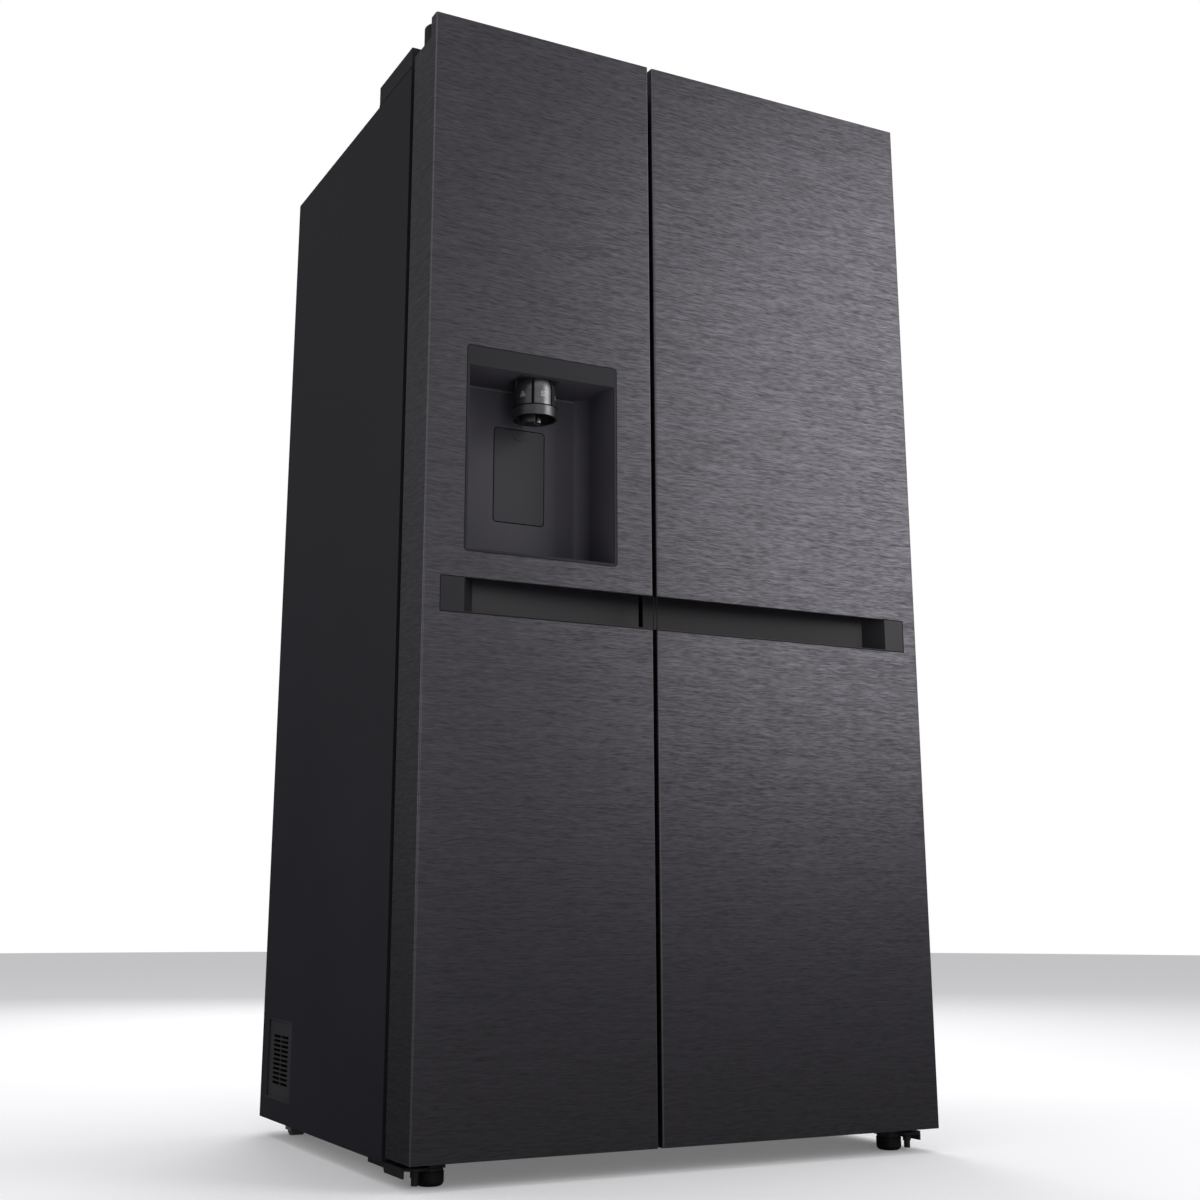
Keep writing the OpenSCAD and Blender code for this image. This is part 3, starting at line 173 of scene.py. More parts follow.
# ---------------------------------------------------------------- camera
# A 48 mm lens low in front of the freezer side, looking slightly up. The lens is shifted a
# little, so that the whole cabinet fills the square frame.
camera = bpy.data.objects.new("camera", bpy.data.cameras.new("camera"))
bpy.context.scene.collection.objects.link(camera)
bpy.context.scene.camera = camera
camera.data.sensor_width = 36
camera.data.lens = 48.21
camera.data.shift_x = 0.0208
camera.data.shift_y = -0.0623
camera.location = (-1.3144, -2.5463, 0.3713)
camera.rotation_euler = (radians(90 + 13.59), radians(-0.074), radians(-27.013))
bpy.context.scene.view_settings.view_transform = "Standard"

# ---------------------------------------------------------------- studio
# A pale floor, a large softbox in front to the right, a small one low in front, one at the left,
# and lights over and behind the cabinet. The studio is dim near the floor and toward the rear.
studio = bpy.data.worlds.new("studio")
bpy.context.scene.world = studio
tree = node_tree(studio)
direction = add(tree, "SeparateXYZ", Vector=add(tree, "TexCoord").outputs["Generated"])
upward = add(tree, "MapRange", Value=direction.outputs["Z"], From_Min=-0.12, From_Max=0.75,
             _interpolation_type="SMOOTHSTEP").outputs["Result"]
behind = add(tree, "MapRange", Value=direction.outputs["Y"], From_Min=0.1, From_Max=0.75, To_Min=1.0,
             To_Max=0.35, _interpolation_type="SMOOTHSTEP").outputs["Result"]
dim = blend(tree, maths(tree, "MULTIPLY", upward, behind), (0.034, 0.0325, 0.037, 1),
            (0.62, 0.62, 0.64, 1))
# The camera sees plain white
seen = add(tree, "LightPath").outputs["Is Camera Ray"]
sky = add(tree, "Background", Color=blend(tree, seen, dim, (1, 1, 1, 1)), Strength=1.0)
tree.links.new(sky.outputs[0], add(tree, "OutputWorld").inputs["Surface"])


def softbox(name, at, aim, width, height, watts):
    lamp = bpy.data.lights.new(name, "AREA")
    lamp.shape, lamp.size, lamp.size_y, lamp.energy = "RECTANGLE", width, height, watts
    held = bpy.data.objects.new(name, lamp)
    held.location = at
    held.rotation_euler = (Vector(aim) - Vector(at)).to_track_quat("-Z", "Y").to_euler()
    bpy.context.scene.collection.objects.link(held)


softbox("key", (2.5, -2.9, 2.12), (0.1, -0.3, 1.2), 1.7, 2.4, 49)
softbox("side", (-3.6, 2.0, 1.4), (-0.45, 0.1, 0.7), 1.6, 2.2, 22)
softbox("low front", (-0.5, -3.9, 1.0), (0, -0.3, 0.9), 1.2, 1.0, 12)
softbox("top", (0.2, 0.2, 4.2), (0, 0, 1), 2.6, 2.2, 60)
softbox("rear", (1.2, 3.6, 2.6), (0, 0, 0.9), 2.4, 2.0, 60)

floor_bm = bmesh.new()
bmesh.ops.create_circle(floor_bm, cap_ends=True, segments=96, radius=14)
floor_mesh = bpy.data.meshes.new("floor")
floor_bm.to_mesh(floor_mesh)
floor_bm.free()
floor = bpy.data.objects.new("floor", floor_mesh)
bpy.context.scene.collection.objects.link(floor)
pale = bpy.data.materials.new("pale_floor")
tree = node_tree(pale)
paint = add(tree, "BsdfPrincipled", Base_Color=(0.86, 0.86, 0.865, 1), Roughness=0.8,
            Emission_Color=(1, 1, 1, 1), Emission_Strength=0.15)
finished(tree, paint)
floor.data.materials.append(pale)
floor.visible_glossy = False

# ---------------------------------------------------------------- doors' brushed skins
# Each door is wrapped in one sheet of dark stainless steel, brushed across its width under
# a matt clear coat. The sheet is folded round the sides, with a small radius on every fold.

# Fine streaks that run across the sheet: long ones, short ones and a slow drift between them
brushing, b_in, b_out = group("brushing", [
    ("Streak Length", "NodeSocketFloat", 45.0), ("Streak Height", "NodeSocketFloat", 620.0),
    ("Dark", "NodeSocketColor", (0.1, 0.1, 0.1, 1)), ("Light", "NodeSocketColor", (0.2, 0.2, 0.2, 1)),
    ("Roughness Low", "NodeSocketFloat", 0.3), ("Roughness High", "NodeSocketFloat", 0.4)],
    [("Color", "NodeSocketColor"), ("Roughness", "NodeSocketFloat"), ("Height", "NodeSocketFloat")])
where = add(brushing, "TexCoord").outputs["Object"]
sway = add(brushing, "TexNoise", Vector=where, Scale=22.0, Detail=1.0)
lifted = add(brushing, "CombineXYZ", Z=maths(brushing, "MULTIPLY_ADD", sway.outputs[0], 0.007, -0.0035))
wavy = add(brushing, "VectorMath", _operation="ADD")
brushing.links.new(where, wavy.inputs[0])
brushing.links.new(lifted.outputs[0], wavy.inputs[1])
squeeze = add(brushing, "CombineXYZ")
for axis in "XY":
    brushing.links.new(b_in.outputs["Streak Length"], squeeze.inputs[axis])
brushing.links.new(b_in.outputs["Streak Height"], squeeze.inputs["Z"])
stretched = add(brushing, "VectorMath", _operation="MULTIPLY")
brushing.links.new(wavy.outputs[0], stretched.inputs[0])
brushing.links.new(squeeze.outputs[0], stretched.inputs[1])
short = add(brushing, "TexNoise", Vector=stretched.outputs[0], Scale=1.0, Detail=2.0, Roughness=0.55)
longer = add(brushing, "VectorMath", _operation="MULTIPLY")
brushing.links.new(stretched.outputs[0], longer.inputs[0])
longer.inputs[1].default_value = (0.22, 0.22, 0.55)
drift = add(brushing, "TexNoise", Vector=longer.outputs[0], Scale=1.0, Detail=2.0, Roughness=0.5)
streak = maths(brushing, "ADD", maths(brushing, "MULTIPLY", short.outputs[0], 0.68),
               maths(brushing, "MULTIPLY", drift.outputs[0], 0.32))
streak = add(brushing, "MapRange", Value=streak, From_Min=0.33, From_Max=0.67).outputs["Result"]
toned = blend(brushing, streak, b_in.outputs["Dark"], b_in.outputs["Light"])
brushing.links.new(toned, b_out.inputs["Color"])
rough = add(brushing, "MapRange", Value=streak)
brushing.links.new(b_in.outputs["Roughness High"], rough.inputs["To Min"])
brushing.links.new(b_in.outputs["Roughness Low"], rough.inputs["To Max"])
brushing.links.new(rough.outputs[0], b_out.inputs["Roughness"])
brushing.links.new(streak, b_out.inputs["Height"])


def brushed_metal(name, dark, light, rough_low, rough_high, dents=0.00002, length=45.0, fine=620.0,
                  metallic=1.0, fold_highlight=0.0, **fixed):
    made = bpy.data.materials.new(name)
    tree = node_tree(made)
    lines = tree.nodes.new("ShaderNodeGroup")
    lines.node_tree = brushing
    for label, value in (("Streak Length", length), ("Streak Height", fine), ("Dark", (*dark, 1)),
                         ("Light", (*light, 1)), ("Roughness Low", rough_low),
                         ("Roughness High", rough_high)):
        lines.inputs[label].default_value = value
    bump = add(tree, "Bump", Height=lines.outputs["Height"], Strength=0.5, Distance=dents)
    shader = add(tree, "BsdfPrincipled", Base_Color=lines.outputs["Color"],
                 Roughness=lines.outputs["Roughness"], Normal=bump.outputs[0], Metallic=metallic,
                 **fixed)
    if fold_highlight:
        # Painted highlight: a pale steel colour on the rounded folds, where the edges would catch the
        # light
        facing = add(tree, "SeparateXYZ", Vector=add(tree, "TexCoord").outputs["Normal"])
        squared = maths(tree, "MAXIMUM", maths(tree, "ABSOLUTE", facing.outputs["X"]),
                        maths(tree, "ABSOLUTE", facing.outputs["Y"]))
        painted_fold_highlight = add(tree, "MapRange", Value=squared, From_Min=0.99, From_Max=0.9, To_Max=fold_highlight)
        steel = blend(tree, painted_fold_highlight.outputs[0], lines.outputs["Color"], (0.55, 0.54, 0.56, 1))
        tree.links.new(steel, shader.inputs["Base Color"])
    finished(tree, shader)
    return made


# The last argument paints a pale highlight along the sheet's folds
door_finish = brushed_metal("brushed_black_steel", (0.044, 0.0414, 0.0471), (0.110, 0.1042, 0.1168),
                            0.33, 0.45, length=58.0, fine=680.0, metallic=0.9, fold_highlight=0.24)
for side in ("freezer", "fridge"):
    softened(side + "_door_sheet", side + "_door_skin", side + "_door", door_finish, "door_steel",
             0.0011, 4, shortest=1.0, clamp=False)

# ---------------------------------------------------------------- cabinet wrap
# Side and top panels of painted sheet steel with a faint orange-peel skin, and the painted
# frame round the two openings that the gaskets close against.
surface, s_in, s_out = group("surface_tone", [
    ("Dark", "NodeSocketColor", (0.1, 0.1, 0.1, 1)), ("Light", "NodeSocketColor", (0.2, 0.2, 0.2, 1)),
    ("Patch Scale", "NodeSocketFloat", 6.0), ("Grain Scale", "NodeSocketFloat", 900.0),
    ("Roughness Low", "NodeSocketFloat", 0.4), ("Roughness High", "NodeSocketFloat", 0.5)],
    [("Color", "NodeSocketColor"), ("Roughness", "NodeSocketFloat"), ("Height", "NodeSocketFloat")])
where = add(surface, "TexCoord").outputs["Object"]
patch = add(surface, "TexNoise", Vector=where, Detail=4.0, Roughness=0.6)
surface.links.new(s_in.outputs["Patch Scale"], patch.inputs["Scale"])
grain = add(surface, "TexNoise", Vector=where, Detail=2.0, Roughness=0.55)
surface.links.new(s_in.outputs["Grain Scale"], grain.inputs["Scale"])
spread = add(surface, "MapRange", Value=patch.outputs[0], From_Min=0.3, From_Max=0.7)
tone = maths(surface, "ADD", spread.outputs[0],
             maths(surface, "MULTIPLY_ADD", grain.outputs[0], 0.5, -0.25))
tinted = blend(surface, tone, s_in.outputs["Dark"], s_in.outputs["Light"])
surface.links.new(tinted, s_out.inputs["Color"])
rough = add(surface, "MapRange", Value=tone)
surface.links.new(s_in.outputs["Roughness Low"], rough.inputs["To Min"])
surface.links.new(s_in.outputs["Roughness High"], rough.inputs["To Max"])
surface.links.new(rough.outputs[0], s_out.inputs["Roughness"])
surface.links.new(grain.outputs[0], s_out.inputs["Height"])


def grained(name, dark, light, rough_low, rough_high, grain_scale=900.0, depth=0.00003,
            patch_scale=6.0, **fixed):
    made = bpy.data.materials.new(name)
    tree = node_tree(made)
    skin = tree.nodes.new("ShaderNodeGroup")
    skin.node_tree = surface
    for label, value in (("Dark", (*dark, 1)), ("Light", (*light, 1)), ("Patch Scale", patch_scale),
                         ("Grain Scale", grain_scale), ("Roughness Low", rough_low),
                         ("Roughness High", rough_high)):
        skin.inputs[label].default_value = value
    bump = add(tree, "Bump", Height=skin.outputs["Height"], Strength=0.6, Distance=depth)
    shader = add(tree, "BsdfPrincipled", Base_Color=skin.outputs["Color"],
                 Roughness=skin.outputs["Roughness"], Normal=bump.outputs[0], **fixed)
    finished(tree, shader)
    return made


wrap_paint = grained("cabinet_paint", (0.0175, 0.0156, 0.0204), (0.0214, 0.0192, 0.0246), 0.44, 0.52,
                     grain_scale=420, depth=0.00004, patch_scale=2.5, Specular_IOR_Level=0.12)
softened("cabinet_wrap", "cabinet_panels", "cabinet", wrap_paint, "cabinet_steel", 0.0004)
dress(["front_frame"], wrap_paint)

# ---------------------------------------------------------------- back panel and its ribs
# One sheet of galvanised steel held in the folded edges of the side panels. Long shallow
# ribs are pressed into it to stiffen it, and pan-head screws hold its lower edge.
galvanised = bpy.data.materials.new("galvanised")
tree = node_tree(galvanised)
cells = add(tree, "TexVoronoi", Vector=add(tree, "TexCoord").outputs["Object"], Scale=110.0)
shade = add(tree, "SeparateColor", Color=cells.outputs["Color"]).outputs[0]
zinc = blend(tree, shade, (0.30, 0.31, 0.32, 1), (0.42, 0.43, 0.44, 1))
dull = add(tree, "MapRange", Value=shade, To_Min=0.38, To_Max=0.52)
bump = add(tree, "Bump", Height=cells.outputs["Distance"], Strength=0.3, Distance=0.00003)
finished(tree, add(tree, "BsdfPrincipled", Base_Color=zinc, Roughness=dull.outputs[0],
                   Normal=bump.outputs[0], Metallic=0.85))
dress(["back_panel", "base_plate"], galvanised)


def rounded_bar(bm, low, high, radius, segments=3):
    """A box from corner low to corner high with all its edges rounded."""
    made = bmesh.ops.create_cube(bm, size=1)["verts"]
    size = [b - a for a, b in zip(low, high)]
    bmesh.ops.scale(bm, vec=size, verts=made)
    bmesh.ops.translate(bm, vec=[(a + b) / 2 for a, b in zip(low, high)], verts=made)
    edges = list({e for v in made for e in v.link_edges})
    bmesh.ops.bevel(bm, geom=edges, offset=radius, affect="EDGES", segments=segments,
                    profile=0.5, material=-1, clamp_overlap=True)


RIB_MIDDLES = (-0.12, -0.28, 0.12, 0.28)
RIB_W = 0.024
RIB_PROUD, RIB_SUNK = 0.0025, 0.0015
RIB_FROM_FOOT, RIB_FROM_TOP = 0.16, 0.12
back_low, back_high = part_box("back_panel")
bm = bmesh.new()
for x in RIB_MIDDLES:
    rounded_bar(bm, (x - RIB_W / 2, back_high.y - RIB_SUNK, back_low.z + RIB_FROM_FOOT),
                (x + RIB_W / 2, back_high.y + RIB_PROUD, back_high.z - RIB_FROM_TOP), 0.0019, 3)
piece("back_panel_ribs", bm, "cabinet", galvanised, "galvanised_steel")


def spun(bm, outline, at=(0, 0, 0), turn=Matrix(), steps=32):
    """Turns an outline of (radius, height) points into a round body about its own axis."""
    before = set(bm.verts)
    points = [bm.verts.new((r, 0, h)) for r, h in outline]
    edges = [bm.edges.new(pair) for pair in zip(points, points[1:])]
    bmesh.ops.spin(bm, geom=points + edges, cent=(0, 0, 0), axis=(0, 0, 1), angle=2 * pi,
                   steps=steps, use_merge=True)
    bmesh.ops.remove_doubles(bm, verts=[v for v in bm.verts if v not in before], dist=1e-6)
    made = [v for v in bm.verts if v not in before]
    bmesh.ops.recalc_face_normals(bm, faces=list({f for v in made for f in v.link_faces}))
    bmesh.ops.transform(bm, matrix=Matrix.Translation(at) @ turn, verts=made)


def screw_head(bm, at, facing, radius=0.0042):
    """A pan-head screw with a round socket, on a surface that faces along facing."""
    head = radius * 0.55
    profile = [(0.0, 0.0)] + [(radius, 0.0), (radius, head * 0.25)]
    profile += [(radius * cos(a), head * 0.25 + head * 0.75 * sin(a))
                for a in (radians(d) for d in (25, 45, 65))]
    profile += [(radius * 0.3, head), (radius * 0.24, head * 0.45), (0.0, head * 0.45)]
    turn = Vector(facing).to_track_quat("Z", "X").to_matrix().to_4x4()
    spun(bm, profile, at, turn, 20)


zinc_screws = grained("zinc_screw", (0.22, 0.22, 0.23), (0.34, 0.34, 0.35), 0.3, 0.42, 700,
                      Metallic=0.9)
bm = bmesh.new()
cover_low, cover_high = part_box("machine_cover")
SCREWS_IN_ROW = 7
SCREW_FROM_END, SCREW_FROM_TOP, SCREW_FROM_FOOT = 0.03, 0.008, 0.012
COVER_SHEET = 0.0009
screw_pitch = (cover_high.x - cover_low.x - 2 * SCREW_FROM_END) / (SCREWS_IN_ROW - 1)
for k in range(SCREWS_IN_ROW):
    x = cover_low.x + SCREW_FROM_END + k * screw_pitch
    screw_head(bm, (x, back_high.y + COVER_SHEET, cover_high.z - SCREW_FROM_TOP), (0, 1, 0))
    screw_head(bm, (x, back_high.y + COVER_SHEET, cover_low.z + SCREW_FROM_FOOT), (0, 1, 0))
piece("back_screws", bm, "cabinet", zinc_screws, "galvanised_steel")

# ---------------------------------------------------------------- machine compartment
# Slotted steel cover, black enamelled compressor on rubber feet, finned condenser with its
# fan, and a drain pan, as they show through the slots.
cover_paint = grained("machine_cover_paint", (0.05, 0.05, 0.053), (0.068, 0.068, 0.071), 0.5, 0.6, 500)
dress(["machine_cover"], cover_paint)
dress(["compressor"], grained("compressor_enamel", (0.012, 0.012, 0.013), (0.022, 0.022, 0.023),
                              0.3, 0.42, 300))
dress(["drain_pan"], grained("pan_plastic", (0.5, 0.5, 0.5), (0.58, 0.58, 0.58), 0.45, 0.55))
dress(["coils"], grained("coil_aluminium", (0.42, 0.41, 0.40), (0.55, 0.54, 0.52), 0.35, 0.5, 500,
                         Metallic=0.9))
dark_moulding = grained("dark_moulding", (0.016, 0.0155, 0.0175), (0.024, 0.0235, 0.026), 0.45, 0.56,
                        1400, 0.00005)
dress(["fan_motors", "condenser_fan"], dark_moulding)
dress(["left_roller", "right_roller"], grained("roller_rubber", (0.03, 0.03, 0.03),
                                               (0.05, 0.05, 0.05), 0.6, 0.75, 800, 0.00006))

# ---------------------------------------------------------------- side grilles
# A moulded grille is clipped into the lower rear of each side panel, with two columns of
# slots that let the machine compartment breathe.
softened("side_grille_pair", "side_grilles", "cabinet", dark_moulding, "dark_plastic", 0.0003, 2)

# ---------------------------------------------------------------- hinges and their covers
# Coated steel arms and pins, with clipped plastic covers over the upper ones. Under each cover runs
# a thin black strip, a painted shadow line.
dress(["hinges"], grained("hinge_steel", (0.010, 0.0098, 0.0112), (0.018, 0.0176, 0.0200), 0.35, 0.5,
                          600, Specular_IOR_Level=0.3))
cover_plastic = grained("hinge_cover_plastic", (0.0150, 0.0140, 0.0170), (0.0190, 0.0178, 0.0212), 0.46,
                        0.56, 1400, 0.00005, Specular_IOR_Level=0.2)
softened("hinge_cover_pair", "hinge_covers", "cabinet", cover_plastic, "dark_plastic", 0.0012, 3)
# Near-black for painted shadow lines in the gaps between parts
gap_shadow_black = grained("painted_gap_shadow", (0.003, 0.003, 0.0035), (0.005, 0.005, 0.0056), 0.6, 0.75, 900,
                  0.00004, Specular_IOR_Level=0.2)
HINGE_COVER_W = 0.0775
COVER_SHADOW_T = 0.003
SHOWS_AT_SIDE, SHOWS_AT_REAR = 0.0006, 0.0003      # past the cover
SHADOW_STRIP_BACK, SHADOW_STRIP_SUNK = 0.0002, 0.0001          # from the panels' front edge and top
hinge_cover_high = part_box("hinge_covers")[1]
panel_low, panel_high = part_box("cabinet_panels")
bm = bmesh.new()
for side in (-1, 1):
    outer = side * (hinge_cover_high.x + SHOWS_AT_SIDE)
    inner = side * (hinge_cover_high.x - HINGE_COVER_W)
    rounded_bar(bm, (min(outer, inner), panel_low.y + SHADOW_STRIP_BACK, panel_high.z - SHADOW_STRIP_SUNK),
                (max(outer, inner), hinge_cover_high.y + SHOWS_AT_REAR,
                 panel_high.z + COVER_SHADOW_T), 0.0002, 1)
piece("hinge_cover_shadow_strips", bm, "cabinet", gap_shadow_black, "black_plastic")

# ---------------------------------------------------------------- levelling feet
# Black nylon cups moulded on threaded studs, which screw up and down to level the cabinet.
# The edges of each cup are slightly rounded.
foot_nylon = grained("foot_nylon", (0.004, 0.004, 0.0047), (0.007, 0.007, 0.008), 0.45, 0.6, 900,
                     0.00005, Specular_IOR_Level=0.25)
for side in ("left", "right"):
    softened(side + "_foot_cup", side + "_foot", side + "_foot", foot_nylon, "black_plastic", 0.0004, 2)

# ---------------------------------------------------------------- door caps
# Moulded plastic caps close the top and bottom of each door. They are pushed into the folded
# sheet and carry the bushes of the hinge pins.
for side in ("freezer", "fridge"):
    softened(side + "_door_end_caps", side + "_door_caps", side + "_door", dark_moulding,
             "dark_plastic", 0.0005, 2)

# ---------------------------------------------------------------- handles
# A dark moulded strip is let into each door. It falls back from a flat end over one steep
# bevel into a long recess, where the fingers find a groove behind the upper lip.
handle_finish = grained("handle_moulding", (0.0135, 0.0123, 0.0152), (0.0175, 0.0161, 0.0196), 0.38,
                        0.46, 1600, 0.00002, 3.0, Specular_IOR_Level=0.28)
for side in ("freezer", "fridge"):
    softened(side + "_handle_strip", side + "_handle", side + "_door", handle_finish,
             "handle_plastic", 0.0004, 2, shortest=0.0015, clamp=False)

# ---------------------------------------------------------------- dispenser recess
# One dark moulding with a plain band over the opening, a flared front edge, a rounded back,
# the pressed-in paddle and a slotted drip tray.
recess_plastic = grained("recess_plastic", (0.0495, 0.0456, 0.0555), (0.0605, 0.0562, 0.0670), 0.42,
                         0.5, 1500, 0.000025, 5.0, Specular_IOR_Level=0.25)
recess_low, recess_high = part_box("dispenser_housing")
front_y = recess_low.y
# The front face is darker than the walls of the recess
tree = recess_plastic.node_tree
shader = tree.nodes["Principled BSDF"]
tone = shader.inputs["Base Color"].links[0].from_socket
depth = add(tree, "SeparateXYZ", Vector=add(tree, "TexCoord").outputs["Object"]).outputs["Y"]
shade = add(tree, "MapRange", Value=depth, From_Min=front_y + 0.0006, From_Max=front_y + 0.0016,
            To_Min=0.27, To_Max=1.0)
darker = add(tree, "VectorMath", _operation="SCALE", Scale=shade.outputs[0])
tree.links.new(tone, darker.inputs[0])
tree.links.new(darker.outputs[0], shader.inputs["Base Color"])
softened("dispenser_recess", "dispenser_housing", "freezer_door", recess_plastic, "dark_plastic",
         0.0009, 3, shortest=0.0015, clamp=False, reach=front_y + 0.02)
softened("paddle_plate", "dispenser_paddle", "dispenser_paddle", grained(
    "paddle_plastic", (0.0290, 0.0266, 0.0320), (0.0345, 0.0320, 0.0380), 0.4, 0.47, 1500, 0.000025,
    Specular_IOR_Level=0.3), "handle_plastic", 0.0005, 3)
dress(["drip_tray", "ice_chute"], dark_moulding)
# Narrow ledge across the top of the back wall, coloured lighter than the wall as a painted highlight on
# its edge
LEDGE_ENDS = (0.040, 0.033)
LEDGE_Y = (0.0868, 0.0894)
LEDGE_DROP = (0.0375, 0.0350)
bm = bmesh.new()
rounded_bar(bm, (recess_low.x + LEDGE_ENDS[0], front_y + LEDGE_Y[0], recess_high.z - LEDGE_DROP[0]),
            (recess_high.x - LEDGE_ENDS[1], front_y + LEDGE_Y[1], recess_high.z - LEDGE_DROP[1]),
            0.0007, 2)
piece("recess_ledge", bm, "freezer_door", grained(
    "ledge_painted_highlight", (0.085, 0.079, 0.094), (0.105, 0.098, 0.115), 0.4, 0.5, 1500, 0.000025),
    "dark_plastic")

# ---------------------------------------------------------------- seams round the mouldings
# A black hairline, a painted shadow of the joint, runs between each moulding and the door's sheet. It
# stands a little proud of the steel, and turns with the door.
SEAM = 0.0013
SEAM_PROUD, SEAM_SUNK = 0.00012, 0.0004
HANDLE_LAPS = (0.004, 0.021)
for name, node, side, corner, laps in (
        ("freezer_handle_seam_shadow", "freezer_handle", "freezer", 0.0005, HANDLE_LAPS),
        ("fridge_handle_seam_shadow", "fridge_handle", "fridge", 0.0005, HANDLE_LAPS),
        ("dispenser_seam_shadow", "dispenser_housing", "freezer", 0.005, (0.0, 0.0))):
    low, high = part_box(node)
    # A handle laps behind the sheet below and above its opening
    low.z, high.z = low.z + laps[0], high.z - laps[1]
    bm = bmesh.new()
    rings = []
    for grow, depth in ((0, SEAM_SUNK), (0, -SEAM_PROUD), (SEAM, -SEAM_PROUD), (SEAM, SEAM_SUNK)):
        r = corner + grow
        rings.append([bm.verts.new((x + r * cos(radians(turn + a)), low.y + depth,
                                    z + r * sin(radians(turn + a))))
                      for turn, x, z in ((0, high.x - corner, high.z - corner),
                                         (90, low.x + corner, high.z - corner),
                                         (180, low.x + corner, low.z + corner),
                                         (270, high.x - corner, low.z + corner))
                      for a in range(0, 91, 15)])
    for one, other in zip(rings, rings[1:] + rings[:1]):
        for k in range(len(one)):
            after = (k + 1) % len(one)
            bm.faces.new((one[k], one[after], other[after], other[k]))
    bmesh.ops.recalc_face_normals(bm, faces=bm.faces)
    piece(name, bm, side + "_door", gap_shadow_black, "black_plastic")

# ---------------------------------------------------------------- spout
# Three push buttons make up a round knob of satin metal, over a collar with a low guard. The
# collar holds the polished water nozzle, and a dark ring along its upper edge is a painted shadow.
satin = brushed_metal("satin_button", (0.14, 0.137, 0.143), (0.21, 0.206, 0.213), 0.3, 0.4,
                      length=120, fine=1500, metallic=0.9)
collar_metal = brushed_metal("satin_collar", (0.10, 0.097, 0.103), (0.15, 0.146, 0.153), 0.3, 0.42,
                             length=90, fine=2200, metallic=0.9)
dress(["spout_body"], dark_moulding)
softened("spout_collar", "spout_ring", "freezer_door", collar_metal, "spout_metal", 0.0003, 2)
for side in ("left", "middle", "right"):
    softened(side + "_button_cap", side + "_button", side + "_button", satin, "spout_metal",
             0.0006, 3)
ring_low, ring_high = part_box("spout_ring")
spout_x, spout_y = (ring_low.x + ring_high.x) / 2, (ring_low.y + ring_high.y) / 2
chrome = bpy.data.materials.new("polished_nozzle")
tree = node_tree(chrome)
smear = add(tree, "TexNoise", Vector=add(tree, "TexCoord").outputs["Object"], Scale=260.0, Detail=3.0)
gloss = add(tree, "MapRange", Value=smear.outputs[0], To_Min=0.16, To_Max=0.26)
finished(tree, add(tree, "BsdfPrincipled", Base_Color=(0.86, 0.86, 0.87, 1),
                   Roughness=gloss.outputs[0], Metallic=1.0))
NOZZLE_BORE_R, NOZZLE_R, NOZZLE_ROUND, NOZZLE_L = 0.0041, 0.0063, 0.0006, 0.0255
NOZZLE_OFF_X, NOZZLE_OFF_Y, NOZZLE_RISE = 0.002, -0.007, 0.002     # from the collar's axis and foot
bm = bmesh.new()
spun(bm, [(NOZZLE_BORE_R, 0.024), (NOZZLE_BORE_R, NOZZLE_ROUND), (0.0046, 0.0), (0.0058, 0.0),
          (NOZZLE_R, NOZZLE_ROUND), (NOZZLE_R, NOZZLE_L), (NOZZLE_BORE_R, NOZZLE_L),
          (NOZZLE_BORE_R, 0.024)],
     (spout_x + NOZZLE_OFF_X, spout_y + NOZZLE_OFF_Y, ring_low.z + NOZZLE_RISE), steps=40)
piece("water_nozzle", bm, "freezer_door", chrome, "spout_metal")
# Dark ring along the collar's upper edge, a painted shadow of the gap under the buttons
collar_r = (ring_high.x - ring_low.x) / 2
SHADOW_IN, SHADOW_OUT, SHADOW_H = collar_r - 0.0010, collar_r + 0.0004, 0.0019
bm = bmesh.new()
spun(bm, [(SHADOW_IN, 0.0), (SHADOW_OUT, 0.0), (SHADOW_OUT, SHADOW_H), (SHADOW_IN, SHADOW_H), (SHADOW_IN, 0.0)],
     (spout_x, spout_y, ring_high.z - 0.0015), steps=64)
piece("collar_shadow_ring", bm, "freezer_door", gap_shadow_black, "black_plastic")

# ---------------------------------------------------------------- marks on the buttons
# A small generic picture is printed in pale ink on each button: crushed ice, an ice cube and a
# drop. Each is a thin film that follows the round face and moves with its button.
mark_ink = grained("mark_ink", (0.5, 0.5, 0.51), (0.6, 0.6, 0.61), 0.5, 0.6, 1200, 0.00001)
button_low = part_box("middle_button")[0]
face_r = spout_y - button_low.y
MARK_RISE = 0.0165             # from the foot of the knob to the middle of a mark
mark_z = button_low.z + MARK_RISE
INK = 0.0003                   # thickness of the printed film
INK_SUNK = 0.00015             # how far its back lies inside the metal
MARK_TURN = radians(60)        # from the middle button to its neighbours
SMALL_SQUARE = (0.0036, 0.0007)


def outline_square(bm, u, w, size, line):
    """A square ring of ink, size across, with its middle at (u, w) on the flat."""
    made = bmesh.ops.create_circle(bm, cap_ends=True, segments=4, radius=size / 2 ** 0.5)["verts"]
    bmesh.ops.rotate(bm, verts=made, cent=(0, 0, 0), matrix=Matrix.Rotation(pi / 4, 3, "Z"))
    bmesh.ops.translate(bm, verts=made, vec=(u, w, 0))
    face = made[0].link_faces[0]
    bmesh.ops.inset_individual(bm, faces=[face], thickness=line)
    bmesh.ops.delete(bm, geom=[face], context="FACES")


